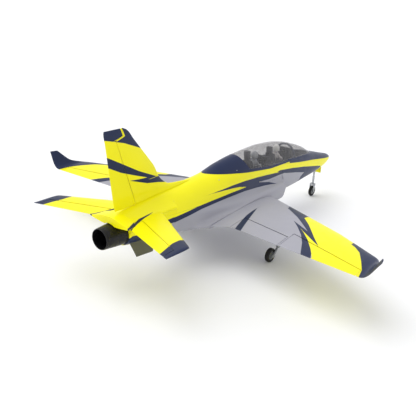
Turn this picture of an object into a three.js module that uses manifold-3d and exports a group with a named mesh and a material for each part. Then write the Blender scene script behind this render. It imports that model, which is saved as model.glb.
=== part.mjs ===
// Radio-controlled sport jet with a ducted fan, built as an assembly of its real pieces.
// Frame: +X to the nose, +Y to the left wing, +Z up, millimetres. The origin is on the
// ground, under the centre of the aircraft's outline seen from above.
import * as THREE from 'three';
import { mergeVertices } from 'three/addons/utils/BufferGeometryUtils.js';
import Module from 'manifold-3d';

const wasm = await Module();
wasm.setup();

// ---------------------------------------------------------------- driving dimensions
const GAP = 0.3;                 // clearance between neighbouring pieces
const WALL = 7;                  // foam wall of the fuselage
const LENGTH = 1120;             // nose tip to stabilizer tips
const TAIL_X = -LENGTH / 2;

const WING_ROOT_Y = 76;          // joint line between wing panel and fuselage
const WING_TIP_Y = 508;          // start of the winglet
const SPAN_Y = 550;              // winglet tip
const ROOT_LE_X = 67;
const KINK_Y = 368;
const KINK_LE_X = -75;
const TIP_LE_X = -152;
const DIHEDRAL = 0.0585;         // rise per millimetre of span
const WING_Z = 110.5;            // height of the chord plane at the centreline
const WING_THICKNESS = 0.115;    // share of the chord
const TIP_THICKNESS = 0.1;
const CAMBER = 2;                // height of the leading edge above the trailing edge
const TE_X = -182;               // trailing edge at the centreline
const TE_SWEEP = 0.165;
const FILLET_Y = 117;            // the trailing edge sweeps back from here to the fuselage
const STUB_TAIL = 60;            // length of the fairing behind the root trailing edge

const FLAP = { in: 120, out: 277, hingeIn: -140, hingeOut: -180, travel: 35 };
const AILERON = { in: 281, out: 496, hingeIn: -158, hingeOut: -237, travel: 20 };
const HINGE_GAP = 1.2;           // slot between a control surface and what carries it
const HORN = 17;                 // reach of a control horn below the chord plane

const STAB = { root: 47, tip: 218, leIn: -385, leOut: -487, teIn: -506, z: 188 };
const ELEVATOR = { in: 52, out: 205, hingeIn: -462, hingeOut: -524 };
const FIN = { hingeTop: [-494, 376], hingeLow: [-436, 212] };
const RUDDER = { floor: 209, horn: [-478, 401], hornLow: [-471, 384] };

const FAN_X = -120;              // front of the fan housing
const FAN_Z = 155;
const FAN_R = 35;
const NOZZLE = { front: -478, rear: -544, rFront: 31, rRear: 25.5, wall: 1.6 };
const SHAFT_R = 2;

const MAIN_WHEEL = { x: -94, y: 182, r: 20, w: 12 };
const NOSE_WHEEL = { x: 468, y: 0, r: 19, w: 10 };
const MAIN_PIVOT = { x: -72, y: 192, z: 114.5, fold: 86.5 };
const NOSE_PIVOT = { x: 470, z: 124, fold: 88 };

// ---------------------------------------------------------------- paints and finishes
const finish = (color, roughness, metalness = 0) => ({ color, roughness, metalness });
const YELLOW = finish(0xf5ee1a, 0.35);
const GREY = finish(0xa4a4b0, 0.4);
const NAVY = finish(0x252f5c, 0.35);
const BLACK = finish(0x101012, 0.3);
const SMOKE = finish(0xc9cdd0, 0.1);
const DARK = finish(0x3c3c40, 0.6);
const STEEL = finish(0xb9bcc0, 0.3, 1);
const RUBBER = finish(0x161616, 0.8);
const HUB = finish(0x8c8f92, 0.4, 0.6);
const WHITE = finish(0xe8e8e6, 0.5);
const BLUE = finish(0x1f4fa8, 0.5);
const COPPER = finish(0xb06a3a, 0.4, 1);
const CARBON = finish(0x1c1c1e, 0.4);

const jet = new THREE.Group();

// ---------------------------------------------------------------- geometry helpers
const v3 = (x, y, z) => new THREE.Vector3(x, y, z);
const lerp = (a, b, t) => a + (b - a) * t;
const deg = (a) => THREE.MathUtils.degToRad(a);

/** Turn a geometry inside out when its faces point inwards. */
function facingOut(geometry) {
  const p = geometry.attributes.position;
  const index = geometry.index.array;
  const a = v3();
  const b = v3();
  const c = v3();
  let volume = 0;
  for (let i = 0; i < index.length; i += 3) {
    a.fromBufferAttribute(p, index[i]);
    b.fromBufferAttribute(p, index[i + 1]);
    c.fromBufferAttribute(p, index[i + 2]);
    volume += a.dot(b.cross(c));
  }
  if (volume < 0) {
    for (let i = 0; i < index.length; i += 3) {
      [index[i], index[i + 1]] = [index[i + 1], index[i]];
    }
  }
  return geometry;
}

/** A closed geometry as a solid that can be joined and cut. */
function solid(geometry) {
  const bare = geometry.clone();
  for (const name of ['normal', 'uv', 'color']) bare.deleteAttribute(name);
  const merged = facingOut(mergeVertices(bare, 1e-4));
  return new wasm.Manifold(new wasm.Mesh({
    numProp: 3,
    vertProperties: new Float32Array(merged.attributes.position.array),
    triVerts: new Uint32Array(merged.index.array),
  }));
}

/** A solid back as a three.js geometry. */
function geometryOf(body) {
  const mesh = body.getMesh();
  const geometry = new THREE.BufferGeometry();
  geometry.setAttribute('position', new THREE.BufferAttribute(mesh.vertProperties, 3));
  geometry.setIndex(new THREE.BufferAttribute(mesh.triVerts, 1));
  geometry.computeVertexNormals();
  return geometry;
}

/** Name a solid, give it its finish and add it to the aircraft. */
function add(name, body, look) {
  const geometry = body.isBufferGeometry ? body : geometryOf(body);
  const mesh = new THREE.Mesh(geometry, new THREE.MeshStandardMaterial(look));
  mesh.name = name;
  jet.add(mesh);
}

/** A skin through rings of points, closed by a fan at each end. */
function loft(rings) {
  const count = rings[0].length;
  const points = [];
  const index = [];
  for (const ring of rings) for (const p of ring) points.push(p.x, p.y, p.z);
  for (let i = 0; i < rings.length - 1; i += 1) {
    for (let j = 0; j < count; j += 1) {
      const a = i * count + j;
      const b = i * count + (j + 1) % count;
      index.push(a, a + count, b, b, a + count, b + count);
    }
  }
  const closeEnd = (ring, first, flip) => {
    const middle = ring.reduce((sum, p) => sum.add(p), v3()).divideScalar(count);
    const hub = points.length / 3;
    points.push(middle.x, middle.y, middle.z);
    for (let j = 0; j < count; j += 1) {
      const a = first + j;
      const b = first + (j + 1) % count;
      index.push(hub, flip ? b : a, flip ? a : b);
    }
  };
  closeEnd(rings[0], 0, false);
  closeEnd(rings[rings.length - 1], (rings.length - 1) * count, true);
  const geometry = new THREE.BufferGeometry();
  geometry.setAttribute('position', new THREE.BufferAttribute(new Float32Array(points), 3));
  geometry.setIndex(index);
  return facingOut(geometry);
}

function box(x0, x1, y0, y1, z0, z1) {
  const geometry = new THREE.BoxGeometry(Math.abs(x1 - x0), Math.abs(y1 - y0), Math.abs(z1 - z0));
  geometry.translate((x0 + x1) / 2, (y0 + y1) / 2, (z0 + z1) / 2);
  return solid(geometry);
}

/** A straight round bar or cone between two points. */
function rod(from, to, r0, r1 = r0, sides = 16) {
  const axis = to.clone().sub(from);
  const geometry = new THREE.CylinderGeometry(r1, r0, axis.length(), sides);
  geometry.applyQuaternion(new THREE.Quaternion().setFromUnitVectors(v3(0, 1, 0), axis.clone().normalize()));
  geometry.translate(...from.clone().add(axis.multiplyScalar(0.5)).toArray());
  return solid(geometry);
}

/** A flat outline in the X-Z plane, given thickness along Y. */
function plateXZ(outline, y0, y1) {
  const shape = new THREE.Shape(outline.map(([x, z]) => new THREE.Vector2(x, z)));
  const geometry = new THREE.ExtrudeGeometry(shape, { depth: y1 - y0, bevelEnabled: false });
  geometry.rotateX(Math.PI / 2);
  geometry.translate(0, y1, 0);
  return solid(geometry);
}

/** A flat outline in the X-Y plane, given thickness along Z. */
function plateXY(outline, z0, z1) {
  const shape = new THREE.Shape(outline.map(([x, y]) => new THREE.Vector2(x, y)));
  const geometry = new THREE.ExtrudeGeometry(shape, { depth: z1 - z0, bevelEnabled: false });
  geometry.translate(0, 0, z0);
  return solid(geometry);
}

/** A body of revolution about an axis through a point; the profile is [radius, place] pairs. */
function turned(profile, at, axis, sides = 20) {
  const geometry = new THREE.LatheGeometry(profile.map(([r, s]) => new THREE.Vector2(r, s)), sides);
  geometry.applyQuaternion(new THREE.Quaternion().setFromUnitVectors(v3(0, 1, 0), axis));
  geometry.translate(at.x, at.y, at.z);
  return solid(geometry);
}

const along = { x: v3(1, 0, 0), y: v3(0, 1, 0), z: v3(0, 0, 1) };

/** Values of a table at x; the first column falls from row to row. */
function at(table, x) {
  let i = 0;
  while (i < table.length - 2 && table[i + 1][0] > x) i += 1;
  const [low, high] = [table[i], table[i + 1]];
  const t = THREE.MathUtils.clamp((x - low[0]) / (high[0] - low[0]), 0, 1);
  const s = t * t * (3 - 2 * t);
  return low.map((value, k) => lerp(value, high[k], lerp(t, s, 0.15)));
}

// ---------------------------------------------------------------- fuselage form
// x, half width, top, bottom, height of the widest place, squareness above, squareness below
const BODY = [
  [560, 2, 134, 130, 132, 2, 2],
  [555, 8, 139, 125, 132, 2, 2],
  [540, 16, 146, 120, 133, 2, 2],
  [515, 24, 153, 116, 134, 2, 2.1],
  [480, 32, 162, 111, 135, 2, 2.2],
  [440, 37, 173, 107, 137, 2, 2.4],
  [391, 41, 187, 103, 141, 2.1, 2.6],
  [330, 44, 215, 99, 147, 2.2, 2.8],
  [270, 46, 235, 95, 150, 2.3, 3],
  [211, 47, 250, 92, 152, 2.3, 3],
  [150, 48, 259, 90, 152, 2.3, 3],
  [80, 49, 263, 88, 152, 2.3, 3],
  [20, 50, 261, 87, 152, 2.2, 3],
  [-44, 51, 256, 87, 152, 2.1, 3],
  [-110, 50, 247, 89, 153, 2, 2.8],
  [-180, 48, 231, 93, 154, 2, 2.6],
  [-260, 45, 225, 99, 155, 2, 2.4],
  [-340, 42, 220, 106, 157, 2, 2.2],
  [-420, 38, 212, 115, 157, 2, 2],
  [-482, 34, 205, 121.5, 156, 2, 2],
  [-484, 32, 204.5, 178, 190, 2, 2],
  [-514, 28, 201, 184, 191, 2, 2],
];
// x, outer half width, half height, height of the middle: the cheeks round the air ducts
const CHEEK = [
  [160, 75, 26, 121],
  [120, 77, 27, 120],
  [40, 78, 27, 120],
  [-60, 74, 26, 120],
  [-160, 62, 25, 124],
  [-260, 50, 24, 132],
  [-340, 40, 22, 140],
];
const CHEEK_INNER = 20;
// x, half width, half thickness: the shelf that carries the stabilizers
const SHELF = [
  [-330, 30, 2],
  [-372, 40, 5],
  [-430, 47, 5.5],
  [-506, 50, 5],
  [-514, 51, 3],
];
const SHELF_Z = 189;

const superellipse = (y, z, w, h, n) => (
  ((Math.abs(y) / w) ** n + (Math.abs(z) / h) ** n) ** (1 / n) - 1) * Math.min(w, h);

/** Smooth join of two distances, k wide. */
function blend(a, b, k) {
  const h = Math.max(k - Math.abs(a - b), 0) / k;
  return Math.min(a, b) - h * h * k / 4;
}

function bodyDistance(x, y, z) {
  const [, w, top, bottom, middle, above, below] = at(BODY, x);
  return z > middle
    ? superellipse(y, z - middle, w, top - middle, above)
    : superellipse(y, z - middle, w, middle - bottom, below);
}

function cheekDistance(x, y, z) {
  const [, outer, half, middle] = at(CHEEK, x);
  const width = (outer - CHEEK_INNER) / 2;
  return superellipse(Math.abs(y) - CHEEK_INNER - width, z - middle, width, half, 3);
}

function stubDistance(x, y, z) {
  const { le, te, thickness, z: height } = wingChord(WING_ROOT_Y);
  const tail = te - STUB_TAIL;
  const share = THREE.MathUtils.clamp((le - x) / (le - tail), 0, 1);
  const half = Math.max(0.6, airfoilHalf(share) * thickness / 2);
  const reach = x > te ? WING_ROOT_Y : lerp(WING_ROOT_Y, 30, (te - x) / (te - tail));
  return Math.max(Math.abs(z - height) - half, Math.abs(y) - reach);
}

function shelfDistance(x, y, z) {
  const [, w, half] = at(SHELF, x);
  return superellipse(y, z - SHELF_Z, w, half, 2.5);
}

/** Signed distance to the fuselage section at x, negative inside. */
function hullDistance(x, y, z, lean = false) {
  let d = bodyDistance(x, y, z);
  if (x <= CHEEK[0][0] && x >= CHEEK[CHEEK.length - 1][0]) d = blend(d, cheekDistance(x, y, z), 14);
  if (lean) return d;
  const { le, te } = wingChord(WING_ROOT_Y);
  if (x < le && x > te - STUB_TAIL) d = blend(d, stubDistance(x, y, z), 12);
  if (x <= SHELF[0][0]) d = blend(d, shelfDistance(x, y, z), 16);
  return d;
}

/** Section ring at x, found outwards from a middle point; inset makes it smaller. */
function hullRing(x, sides, inset = 0, lean = false) {
  const middle = x < -483 ? SHELF_Z : lerp(132, 150, THREE.MathUtils.clamp((200 - x) / 400, 0, 1));
  const ring = [];
  for (let i = 0; i < sides; i += 1) {
    const angle = (i + 0.5) / sides * Math.PI * 2;
    const dy = Math.sin(angle);
    const dz = Math.cos(angle);
    let near = 0;
    let far = 160;
    for (let k = 0; k < 30; k += 1) {
      const r = (near + far) / 2;
      const inside = hullDistance(x, dy * r, middle + dz * r, lean) + inset < 0;
      if (inside) near = r;
      else far = r;
    }
    ring.push(v3(x, dy * near, middle + dz * near));
  }
  return ring;
}

// ---------------------------------------------------------------- wing form
function wingChord(y) {
  const le = y < KINK_Y
    ? lerp(ROOT_LE_X, KINK_LE_X, (y - WING_ROOT_Y) / (KINK_Y - WING_ROOT_Y))
    : lerp(KINK_LE_X, TIP_LE_X, (y - KINK_Y) / (495 - KINK_Y));
  const straight = TE_X - TE_SWEEP * y;
  const thickness = (le - straight) * lerp(WING_THICKNESS, TIP_THICKNESS, y / WING_TIP_Y);
  return { le, te: straight - Math.max(0, FILLET_Y - y), thickness, z: WING_Z + DIHEDRAL * y };
}

/** Half thickness of the section at a share of the chord, 1 at its thickest. */
function airfoilHalf(s) {
  const thick = 2.969 * Math.sqrt(s) - 1.26 * s - 3.516 * s ** 2 + 2.843 * s ** 3 - 1.036 * s ** 4;
  return Math.max(thick, 0);
}

/** Section ring: le and te are corners, up is the direction of its thickness. */
function airfoilRing(le, te, up, thickness, steps = 7) {
  const chord = te.clone().sub(le);
  const ring = [];
  const place = (s, sign) => le.clone().addScaledVector(chord, s)
    .addScaledVector(up, sign * Math.max(airfoilHalf(s) * thickness / 2, 0.35));
  for (let i = 0; i <= steps; i += 1) ring.push(place((1 - Math.cos(Math.PI * (1 - i / steps))) / 2, 1));
  for (let i = 1; i <= steps; i += 1) ring.push(place((1 - Math.cos(Math.PI * i / steps)) / 2, -1));
  return ring;
}

// ---------------------------------------------------------------- fuselage
const HULL_STATIONS = [
  560, 555, 540, 515, 480, 440, 391, 330, 270, 211, 160.5, 159.5, 120, 80, 67.2, 64, 50, 20, -44, -110,
  -180, -235, -270, -294, -297, -329, -331, -372, -420, -455, -482, -484, -500, -514,
];
const HULL_SIDES = 24;
const SILL = [[-184, 231.5], [-26, 209], [93, 196], [224, 193], [293, 188], [345, 184], [396, 179]];
const SILL_RAIL = 7;             // height of the hatch rail under the glass
const HATCH_WALL = 4.5;
const GLASS_WALL = 1.2;
const BOW_X = 245;

const hullOf = (inset, stations = HULL_STATIONS, lean = false) => (
  solid(loft(stations.map((x) => hullRing(x, HULL_SIDES, inset, lean)))));
const within = (from, to) => HULL_STATIONS.filter((x) => x < from && x > to);
const hull = hullOf(0).intersect(box(-600, 600, -WING_ROOT_Y, WING_ROOT_Y, 0, 400));

/** Everything above a line in the side view, raised by lift. */
function aboveSill(lift, ends = [0, 0]) {
  const line = SILL.map(([x, z]) => [x, z + lift]);
  const first = [line[0][0] + ends[0], line[0][1]];
  const last = [line[line.length - 1][0] - ends[1], line[line.length - 1][1]];
  const outline = [first, ...line.slice(1, -1), last, [last[0], 320], [first[0], 320]];
  return plateXZ(outline, -80, 80);
}

/** The region of the clear glass: above the rail, ahead of the sloping rear arch. */
function glassRegion(lift) {
  const rail = SILL.slice(1).map(([x, z]) => [x, z + SILL_RAIL + lift]);
  const arch = [[-45 + lift, 262], [-14 + lift, 216 + lift]];
  const outline = [...arch, ...rail.slice(1), [396, 320], [-45 + lift, 320]];
  return plateXZ(outline, -80, 80);
}

/** Duct from the cheek's mouth back into the hollow of the fuselage. */
function airDuct(side) {
  const mouth = (x, y0, y1, z0, z1) => {
    const ring = [];
    const corners = 12;
    for (let i = 0; i < corners; i += 1) {
      const a = (i + 0.5) / corners * Math.PI * 2;
      const square = (value) => Math.sign(value) * Math.abs(value) ** 0.55;
      const y = (y0 + y1) / 2 + square(Math.cos(a)) * (y1 - y0) / 2;
      const z = (z0 + z1) / 2 + square(Math.sin(a)) * (z1 - z0) / 2;
      ring.push(v3(x, side * y, z));
    }
    return ring;
  };
  return solid(loft([
    mouth(175, 50, 76, 96, 146),
    mouth(120, 47, 73, 97, 143),
    mouth(60, 38, 68, 100, 140),
    mouth(0, 20, 50, 102, 140),
  ]));
}

/** Wedge that rakes the cheek's lip back towards its lower edge. */
function lipRake(side) {
  const outline = [[166, 150], [150, 147], [124, 90], [166, 90]];
  return side > 0 ? plateXZ(outline, 48.5, 90) : plateXZ(outline, -90, -48.5);
}

function makeFuselage() {
  const cavityStations = [470, ...within(470, 160.5), 160.2, 159.8, ...within(159.5, -440), -440];
  let body = hull.subtract(hullOf(WALL, cavityStations, true));
  body = body.subtract(rod(v3(-280, 0, FAN_Z), v3(-483, 0, FAN_Z), 36.5, 30.8, 32));
  const seatFront = NOZZLE.rFront + 0.8;
  const seatRear = NOZZLE.rFront - 0.5;
  body = body.subtract(rod(v3(NOZZLE.front, 0, FAN_Z), v3(-520, 0, FAN_Z), seatFront, seatRear, 32));
  body = body.subtract(aboveSill(0));
  body = body.subtract(box(344, 498, -14, 14, 80, 146));
  for (const side of [-1, 1]) {
    body = body.subtract(lipRake(side)).subtract(airDuct(side));
  }
  body = body.subtract(rod(v3(SPAR.x, -90, SPAR.z), v3(SPAR.x, 90, SPAR.z), SPAR.r + GAP, SPAR.r + GAP, 16));
  const halfSpace = (side) => box(-600, 600, side * 0.15, side * 120, 0, 400);
  add('fuselage_left', body.intersect(halfSpace(1)), YELLOW);
  add('fuselage_right', body.intersect(halfSpace(-1)), YELLOW);
}

function makeHatch() {
  const region = aboveSill(GAP, [0.5, GAP]);
  const top = hull.intersect(region);
  const stations = [470, ...within(470, -300), -300];
  const hollow = hullOf(HATCH_WALL, stations, true);
  let frame = top.subtract(hollow).subtract(glassRegion(0));
  const bowShell = hullOf(GLASS_WALL + GAP, stations, true).subtract(hollow);
  frame = frame.add(bowShell.intersect(box(BOW_X - 3, BOW_X + 3, -80, 80, 150, 300)).intersect(aboveSill(2)));
  add('hatch_frame', frame, NAVY);
  const glass = top.subtract(hullOf(GLASS_WALL, stations, true)).intersect(glassRegion(GAP));
  add('canopy_glass', glass, SMOKE);
}

// ---------------------------------------------------------------- cockpit
const TUB = { rear: -20, front: 330, floor: 176, wall: 2 };
const SEATS = { front: { x: 166, top: 244 }, rear: { x: 44, top: 254 } };
const HELMET_R = 12;

/** Hood of an instrument panel across the tub. */
function coaming(x, top, halfWidth) {
  const outline = [[x - 4, TUB.floor], [x - 6, top], [x + 16, top - 3], [x + 30, TUB.floor]];
  return plateXZ(outline, -halfWidth, halfWidth);
}

function makeTub() {
  const stations = [...within(400, -60)];
  const outer = hullOf(9.5, stations, true).intersect(box(TUB.rear, TUB.front, -32, 32, TUB.floor, 240));
  const inner = hullOf(11.5, stations, true)
    .intersect(box(TUB.rear + 2, TUB.front - 2, -30, 30, TUB.floor + TUB.wall, 260));
  let tub = outer.subtract(inner).subtract(aboveSill(4));
  tub = tub.add(coaming(238, 226, 23).add(coaming(112, 222, 20)).intersect(hullOf(9.6, stations, true)));
  add('cockpit_tub', tub, DARK);
}

function makeSeat(name, { x, top }) {
  const foot = [[x - 4, 184], [x + 4, 184]];
  const back = [...foot, [x - 9, top - 22], [x - 12, top], [x - 24, top], [x - 21, top - 24]];
  const upright = plateXZ(back, -8, 8);
  const shoulders = plateXZ([...foot, [x - 8, 222], [x - 16, 222]], -15, 15);
  const cushion = box(x - 4, x + 34, -15, 15, TUB.floor + TUB.wall + GAP, 192);
  add(name, upright.add(shoulders).add(cushion), DARK);
}

function makePilot(name, x, headZ, look) {
  const torso = new THREE.SphereGeometry(1, 9, 6);
  torso.scale(9, 14, 22);
  torso.translate(x, 0, headZ - 27);
  const arms = new THREE.BoxGeometry(26, 30, 7);
  arms.translate(x + 12, 0, headZ - 33);
  const helmet = new THREE.SphereGeometry(HELMET_R, 10, 7);
  helmet.translate(x, 0, headZ);
  const floor = box(x - 60, x + 60, -40, 40, 150, 192.3);
  add(name, solid(torso).add(solid(helmet)).add(solid(arms)).subtract(floor), look);
}

function makeCockpit() {
  makeTub();
  makeSeat('front_seat', SEATS.front);
  makeSeat('rear_seat', SEATS.rear);
  makePilot('front_pilot', 189, 231, WHITE);
  makePilot('rear_pilot', 68, 232, WHITE);
}

// ---------------------------------------------------------------- wing
const SPAR = { x: -22, z: 112, r: 4, reach: 170 };
const WING_STATIONS = [WING_ROOT_Y + GAP, FILLET_Y, 200, 279, KINK_Y, 440, 480];
const UP = v3(0, 0, 1);

/** Whole wing panel with its winglet, before control surfaces and pockets are cut. */
function wingPanel(side) {
  const rings = WING_STATIONS.map((y) => {
    const { le, te, thickness, z } = wingChord(y);
    return airfoilRing(v3(le, side * y, z + CAMBER), v3(te, side * y, z), UP, thickness);
  });
  const tip = (le, te, tilt, thickness) => {
    const up = v3(0, -side * Math.sin(deg(tilt)), Math.cos(deg(tilt)));
    return airfoilRing(v3(le[0], side * le[1], le[2]), v3(te[0], side * te[1], te[2]), up, thickness);
  };
  rings.push(tip([-156, 500, 142], [-265, 505, 140], 12, 9));
  rings.push(tip([-178, 512, 147], [-267, 515, 143.5], 30, 7.5));
  rings.push(tip([-206, 521, 156], [-267, 524, 151], 50, 6));
  rings.push(tip([-241, 541, 188], [-263, SPAN_Y - 2, 188], 57, 3.6));
  return solid(loft(rings));
}

/** Hinge of a control surface: its two ends, and the half thickness there. */
function hingeOf({ in: yIn, out: yOut, hingeIn, hingeOut }, side) {
  const end = (x, y) => {
    const { le, te, thickness, z } = wingChord(y);
    const share = (le - x) / (le - te);
    return { point: v3(x, side * y, z + CAMBER * (1 - share)), half: airfoilHalf(share) * thickness / 2 };
  };
  return [end(hingeIn, yIn), end(hingeOut, yOut)];
}

/** Region behind the hinge, between the two ends, shrunk by a gap. */
function behindHinge({ in: yIn, out: yOut, hingeIn, hingeOut, slant = 0 }, side, gap) {
  const outline = [
    [hingeIn, side * (yIn + gap)], [hingeOut, side * (yOut - gap)],
    [-300, side * (yOut - gap)], [-300, side * (yIn - slant * 10 + gap)],
  ];
  return plateXY(outline, 60, 220);
}

function cutSurface(panel, spec, side) {
  const [a, b] = hingeOf(spec, side);
  const axis = b.point.clone().sub(a.point).normalize();
  const noseRod = (extra, inset) => rod(
    a.point.clone().addScaledVector(axis, inset), b.point.clone().addScaledVector(axis, -inset),
    a.half - 0.4 + extra, b.half - 0.4 + extra, 20);
  const moving = panel.intersect(behindHinge(spec, side, HINGE_GAP)).add(noseRod(0, 2.4 * HINGE_GAP));
  const fixed = panel.subtract(behindHinge(spec, side, 0)).subtract(noseRod(HINGE_GAP, 0));
  return { moving, fixed, hinge: { a, b, axis } };
}

/** Horn under a control surface, where the pushrod pulls. */
function hornAt(hinge, y, side) {
  const t = (y - Math.abs(hinge.a.point.y)) / (Math.abs(hinge.b.point.y) - Math.abs(hinge.a.point.y));
  const at0 = hinge.a.point.clone().lerp(hinge.b.point, t);
  const z = at0.z;
  const outline = [[at0.x - 2, z - 1], [at0.x - 16, z - 1], [at0.x - 4, z - HORN], [at0.x, z - HORN]];
  const plate = side > 0 ? plateXZ(outline, y - 1, y + 1) : plateXZ(outline, -y - 1, -y + 1);
  return { plate, hole: v3(at0.x - 2, side * y, z - HORN + 2) };
}

/** Pocket under the wing, its servo and the pushrod to the horn. */
function addServo(name, fixed, hole, x, side) {
  const y = Math.abs(hole.y);
  const { z } = wingChord(y);
  const far = (side > 0) ? 1 : -1;
  const pocket = box(x - 13, x + 13, far * (y - 13), far * (y + 13), z - 30, z + 4.3);
  const servo = box(x - 11.5, x + 11.5, far * (y - 11.5), far * (y + 11.5), z - 8, z + 4);
  add(`${name}_servo`, servo, DARK);
  const lane = far * (y + 2.2);
  const rodFrom = v3(x - 4, lane, hole.z);
  const rodTo = v3(hole.x, lane, hole.z);
  const clevis = box(hole.x - 4, hole.x + 5, lane - 0.9, lane + 0.9, hole.z - 1.6, hole.z + 1.6);
  const frontEye = box(x - 8, x + 1, lane - 0.9, lane + 0.9, hole.z - 1.6, hole.z + 1.6);
  add(`${name}_pushrod`, rod(rodFrom, rodTo, 0.8, 0.8, 8).add(clevis).add(frontEye), STEEL);
  return fixed.subtract(pocket);
}

/** Well for the folded main wheel and leg, parallel to the wing. */
function wheelWell(side) {
  const { x, r } = MAIN_WHEEL;
  const folded = MAIN_PIVOT.y - (MAIN_PIVOT.z - MAIN_WHEEL.r) * Math.sin(deg(MAIN_PIVOT.fold));
  const wheel = new THREE.CylinderGeometry(r + 2.5, r + 2.5, 70, 24);
  wheel.rotateX(Math.PI / 2);
  wheel.translate(x, side * folded, 91.2);
  const slot = new THREE.BoxGeometry(16, MAIN_PIVOT.y + 4 - folded, 70);
  slot.translate(MAIN_PIVOT.x, side * (MAIN_PIVOT.y + 4 + folded) / 2, 90.5);
  const unit = new THREE.BoxGeometry(44, 36, 70);
  unit.translate(MAIN_PIVOT.x, side * (MAIN_PIVOT.y + 10), 93);
  const door = new THREE.BoxGeometry(46, 46, 12);
  door.translate(MAIN_PIVOT.x, side * (MAIN_PIVOT.y - 26), 102);
  const tilt = (g) => {
    g.translate(0, -side * folded, -116);
    g.rotateX(side * Math.atan(DIHEDRAL));
    g.translate(0, side * folded, 116);
    return solid(g);
  };
  return tilt(wheel).add(tilt(slot)).add(tilt(unit)).add(tilt(door));
}

function makeWing(name, side) {
  const whole = wingPanel(side);
  const flap = cutSurface(whole, { ...FLAP, slant: 1 }, side);
  const aileron = cutSurface(flap.fixed, AILERON, side);
  const flapHorn = hornAt(flap.hinge, 236, side);
  const aileronHorn = hornAt(aileron.hinge, 376, side);
  add(`${name}_flap`, flap.moving.add(flapHorn.plate), GREY);
  add(`${name}_aileron`, aileron.moving.add(aileronHorn.plate), YELLOW);
  let wing = aileron.fixed.subtract(wheelWell(side));
  wing = addServo(`${name}_flap`, wing, flapHorn.hole, -98, side);
  wing = addServo(`${name}_aileron`, wing, aileronHorn.hole, -132, side);
  const sleeveFrom = v3(SPAR.x, side * 60, SPAR.z);
  const sleeveTo = v3(SPAR.x, side * (SPAR.reach + 1), SPAR.z);
  wing = wing.subtract(rod(sleeveFrom, sleeveTo, SPAR.r + GAP, SPAR.r + GAP, 16));
  add(`${name}_wing`, wing, GREY);
}

// ---------------------------------------------------------------- tail
function tailPanel(side) {
  const rings = [STAB.root - 8, 100, 160, STAB.tip - 8, STAB.tip].map((y) => {
    const t = (y - 36) / (STAB.tip - 36);
    const le = lerp(STAB.leIn + 5, STAB.leOut, t);
    const te = lerp(STAB.teIn + 6, TAIL_X, t);
    const thin = y >= STAB.tip ? 0.55 : 1;
    return airfoilRing(v3(le, side * y, STAB.z), v3(te, side * y, STAB.z), UP, lerp(11, 6.5, t) * thin);
  });
  return solid(loft(rings));
}

function makeStabilizer(name, side, hullGrown) {
  const panel = tailPanel(side).subtract(hullGrown);
  const halfAt = (x, y) => {
    const t = (y - 36) / (STAB.tip - 36);
    const le = lerp(STAB.leIn + 5, STAB.leOut, t);
    const te = lerp(STAB.teIn + 6, TAIL_X, t);
    return airfoilHalf((le - x) / (le - te)) * lerp(11, 6.5, t) / 2;
  };
  const { in: yIn, out: yOut, hingeIn, hingeOut } = ELEVATOR;
  const a = v3(hingeIn, side * yIn, STAB.z);
  const b = v3(hingeOut, side * yOut, STAB.z);
  const axis = b.clone().sub(a).normalize();
  const nose = (extra, inset) => rod(
    a.clone().addScaledVector(axis, inset), b.clone().addScaledVector(axis, -inset),
    halfAt(hingeIn, yIn) - 0.3 + extra, halfAt(hingeOut, yOut) - 0.3 + extra, 16);
  const region = (gap) => plateXY([
    [hingeIn, side * (yIn + gap)], [hingeOut, side * (yOut - gap)],
    [-600, side * (yOut - gap)], [-600, side * (yIn + gap)]], 150, 230);
  const moving = panel.intersect(region(HINGE_GAP)).add(nose(0, 2.4 * HINGE_GAP));
  add(`${name}_elevator`, moving, YELLOW);
  add(`${name}_stabilizer`, panel.subtract(region(0)).subtract(nose(HINGE_GAP, 0)), YELLOW);
}

/** The whole vertical surface: fin, dorsal fillet and rudder in one. */
function verticalPanel() {
  // height, leading edge, trailing edge, thickness
  const levels = [
    [196, -200, -494.5, 10], [226.5, -216, -500, 10], [231, -270, -501, 10], [237, -318, -502, 11],
    [300, -374.5, -511.5, 9.5], [372, -438, -523, 6.5], [396, -459, -527, 4.5], [401, -470, -526, 2.2],
  ];
  const side = v3(0, 1, 0);
  return solid(loft(levels.map(([z, le, te, t]) => airfoilRing(v3(le, 0, z), v3(te, 0, z), side, t))));
}

function makeFin(hullGrown) {
  const { hingeTop, hingeLow } = FIN;
  const { horn, hornLow } = RUDDER;
  const panel = verticalPanel();
  const region = (gap, floor) => plateXZ([
    [hingeLow[0] - gap, floor], [hingeLow[0] - gap, hingeLow[1]], [hingeTop[0] - gap, hingeTop[1] + gap],
    [hornLow[0] - gap, hornLow[1] + gap], [horn[0] - gap, 420], [-560, 420], [-560, floor]], -20, 20);
  const low = v3(hingeLow[0], 0, hingeLow[1] + 2);
  const top = v3(hingeTop[0], 0, hingeTop[1] - 3);
  const nose = (extra) => rod(low, top, 4 + extra, 2 + extra, 16);
  const lift = hullGrown.translate([0, 0, 1.2]);
  add('rudder', panel.intersect(region(HINGE_GAP, RUDDER.floor)).add(nose(0)).subtract(lift), YELLOW);
  const grown = rod(v3(hingeLow[0] + 5, 0, hingeLow[1] - 14), v3(hingeTop[0], 0, hingeTop[1]), 5.4, 3.2, 16);
  add('fin', panel.subtract(region(0, 150)).subtract(grown).subtract(hullGrown), YELLOW);
}

function makeVentralFin(name, side, hullGrown) {
  const root = v3(0, side * 20, 140);
  const tip = v3(0, side * 41, 94);
  const up = v3(0, 0.91, side * 0.41);
  const at0 = (base, le, te) => airfoilRing(
    v3(le, base.y, base.z), v3(te, base.y, base.z + 4), up, 5, 6);
  const plate = solid(loft([at0(root, -372, -478), at0(tip, -412, -467)]));
  add(name, plate.subtract(hullGrown), GREY);
}

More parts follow.
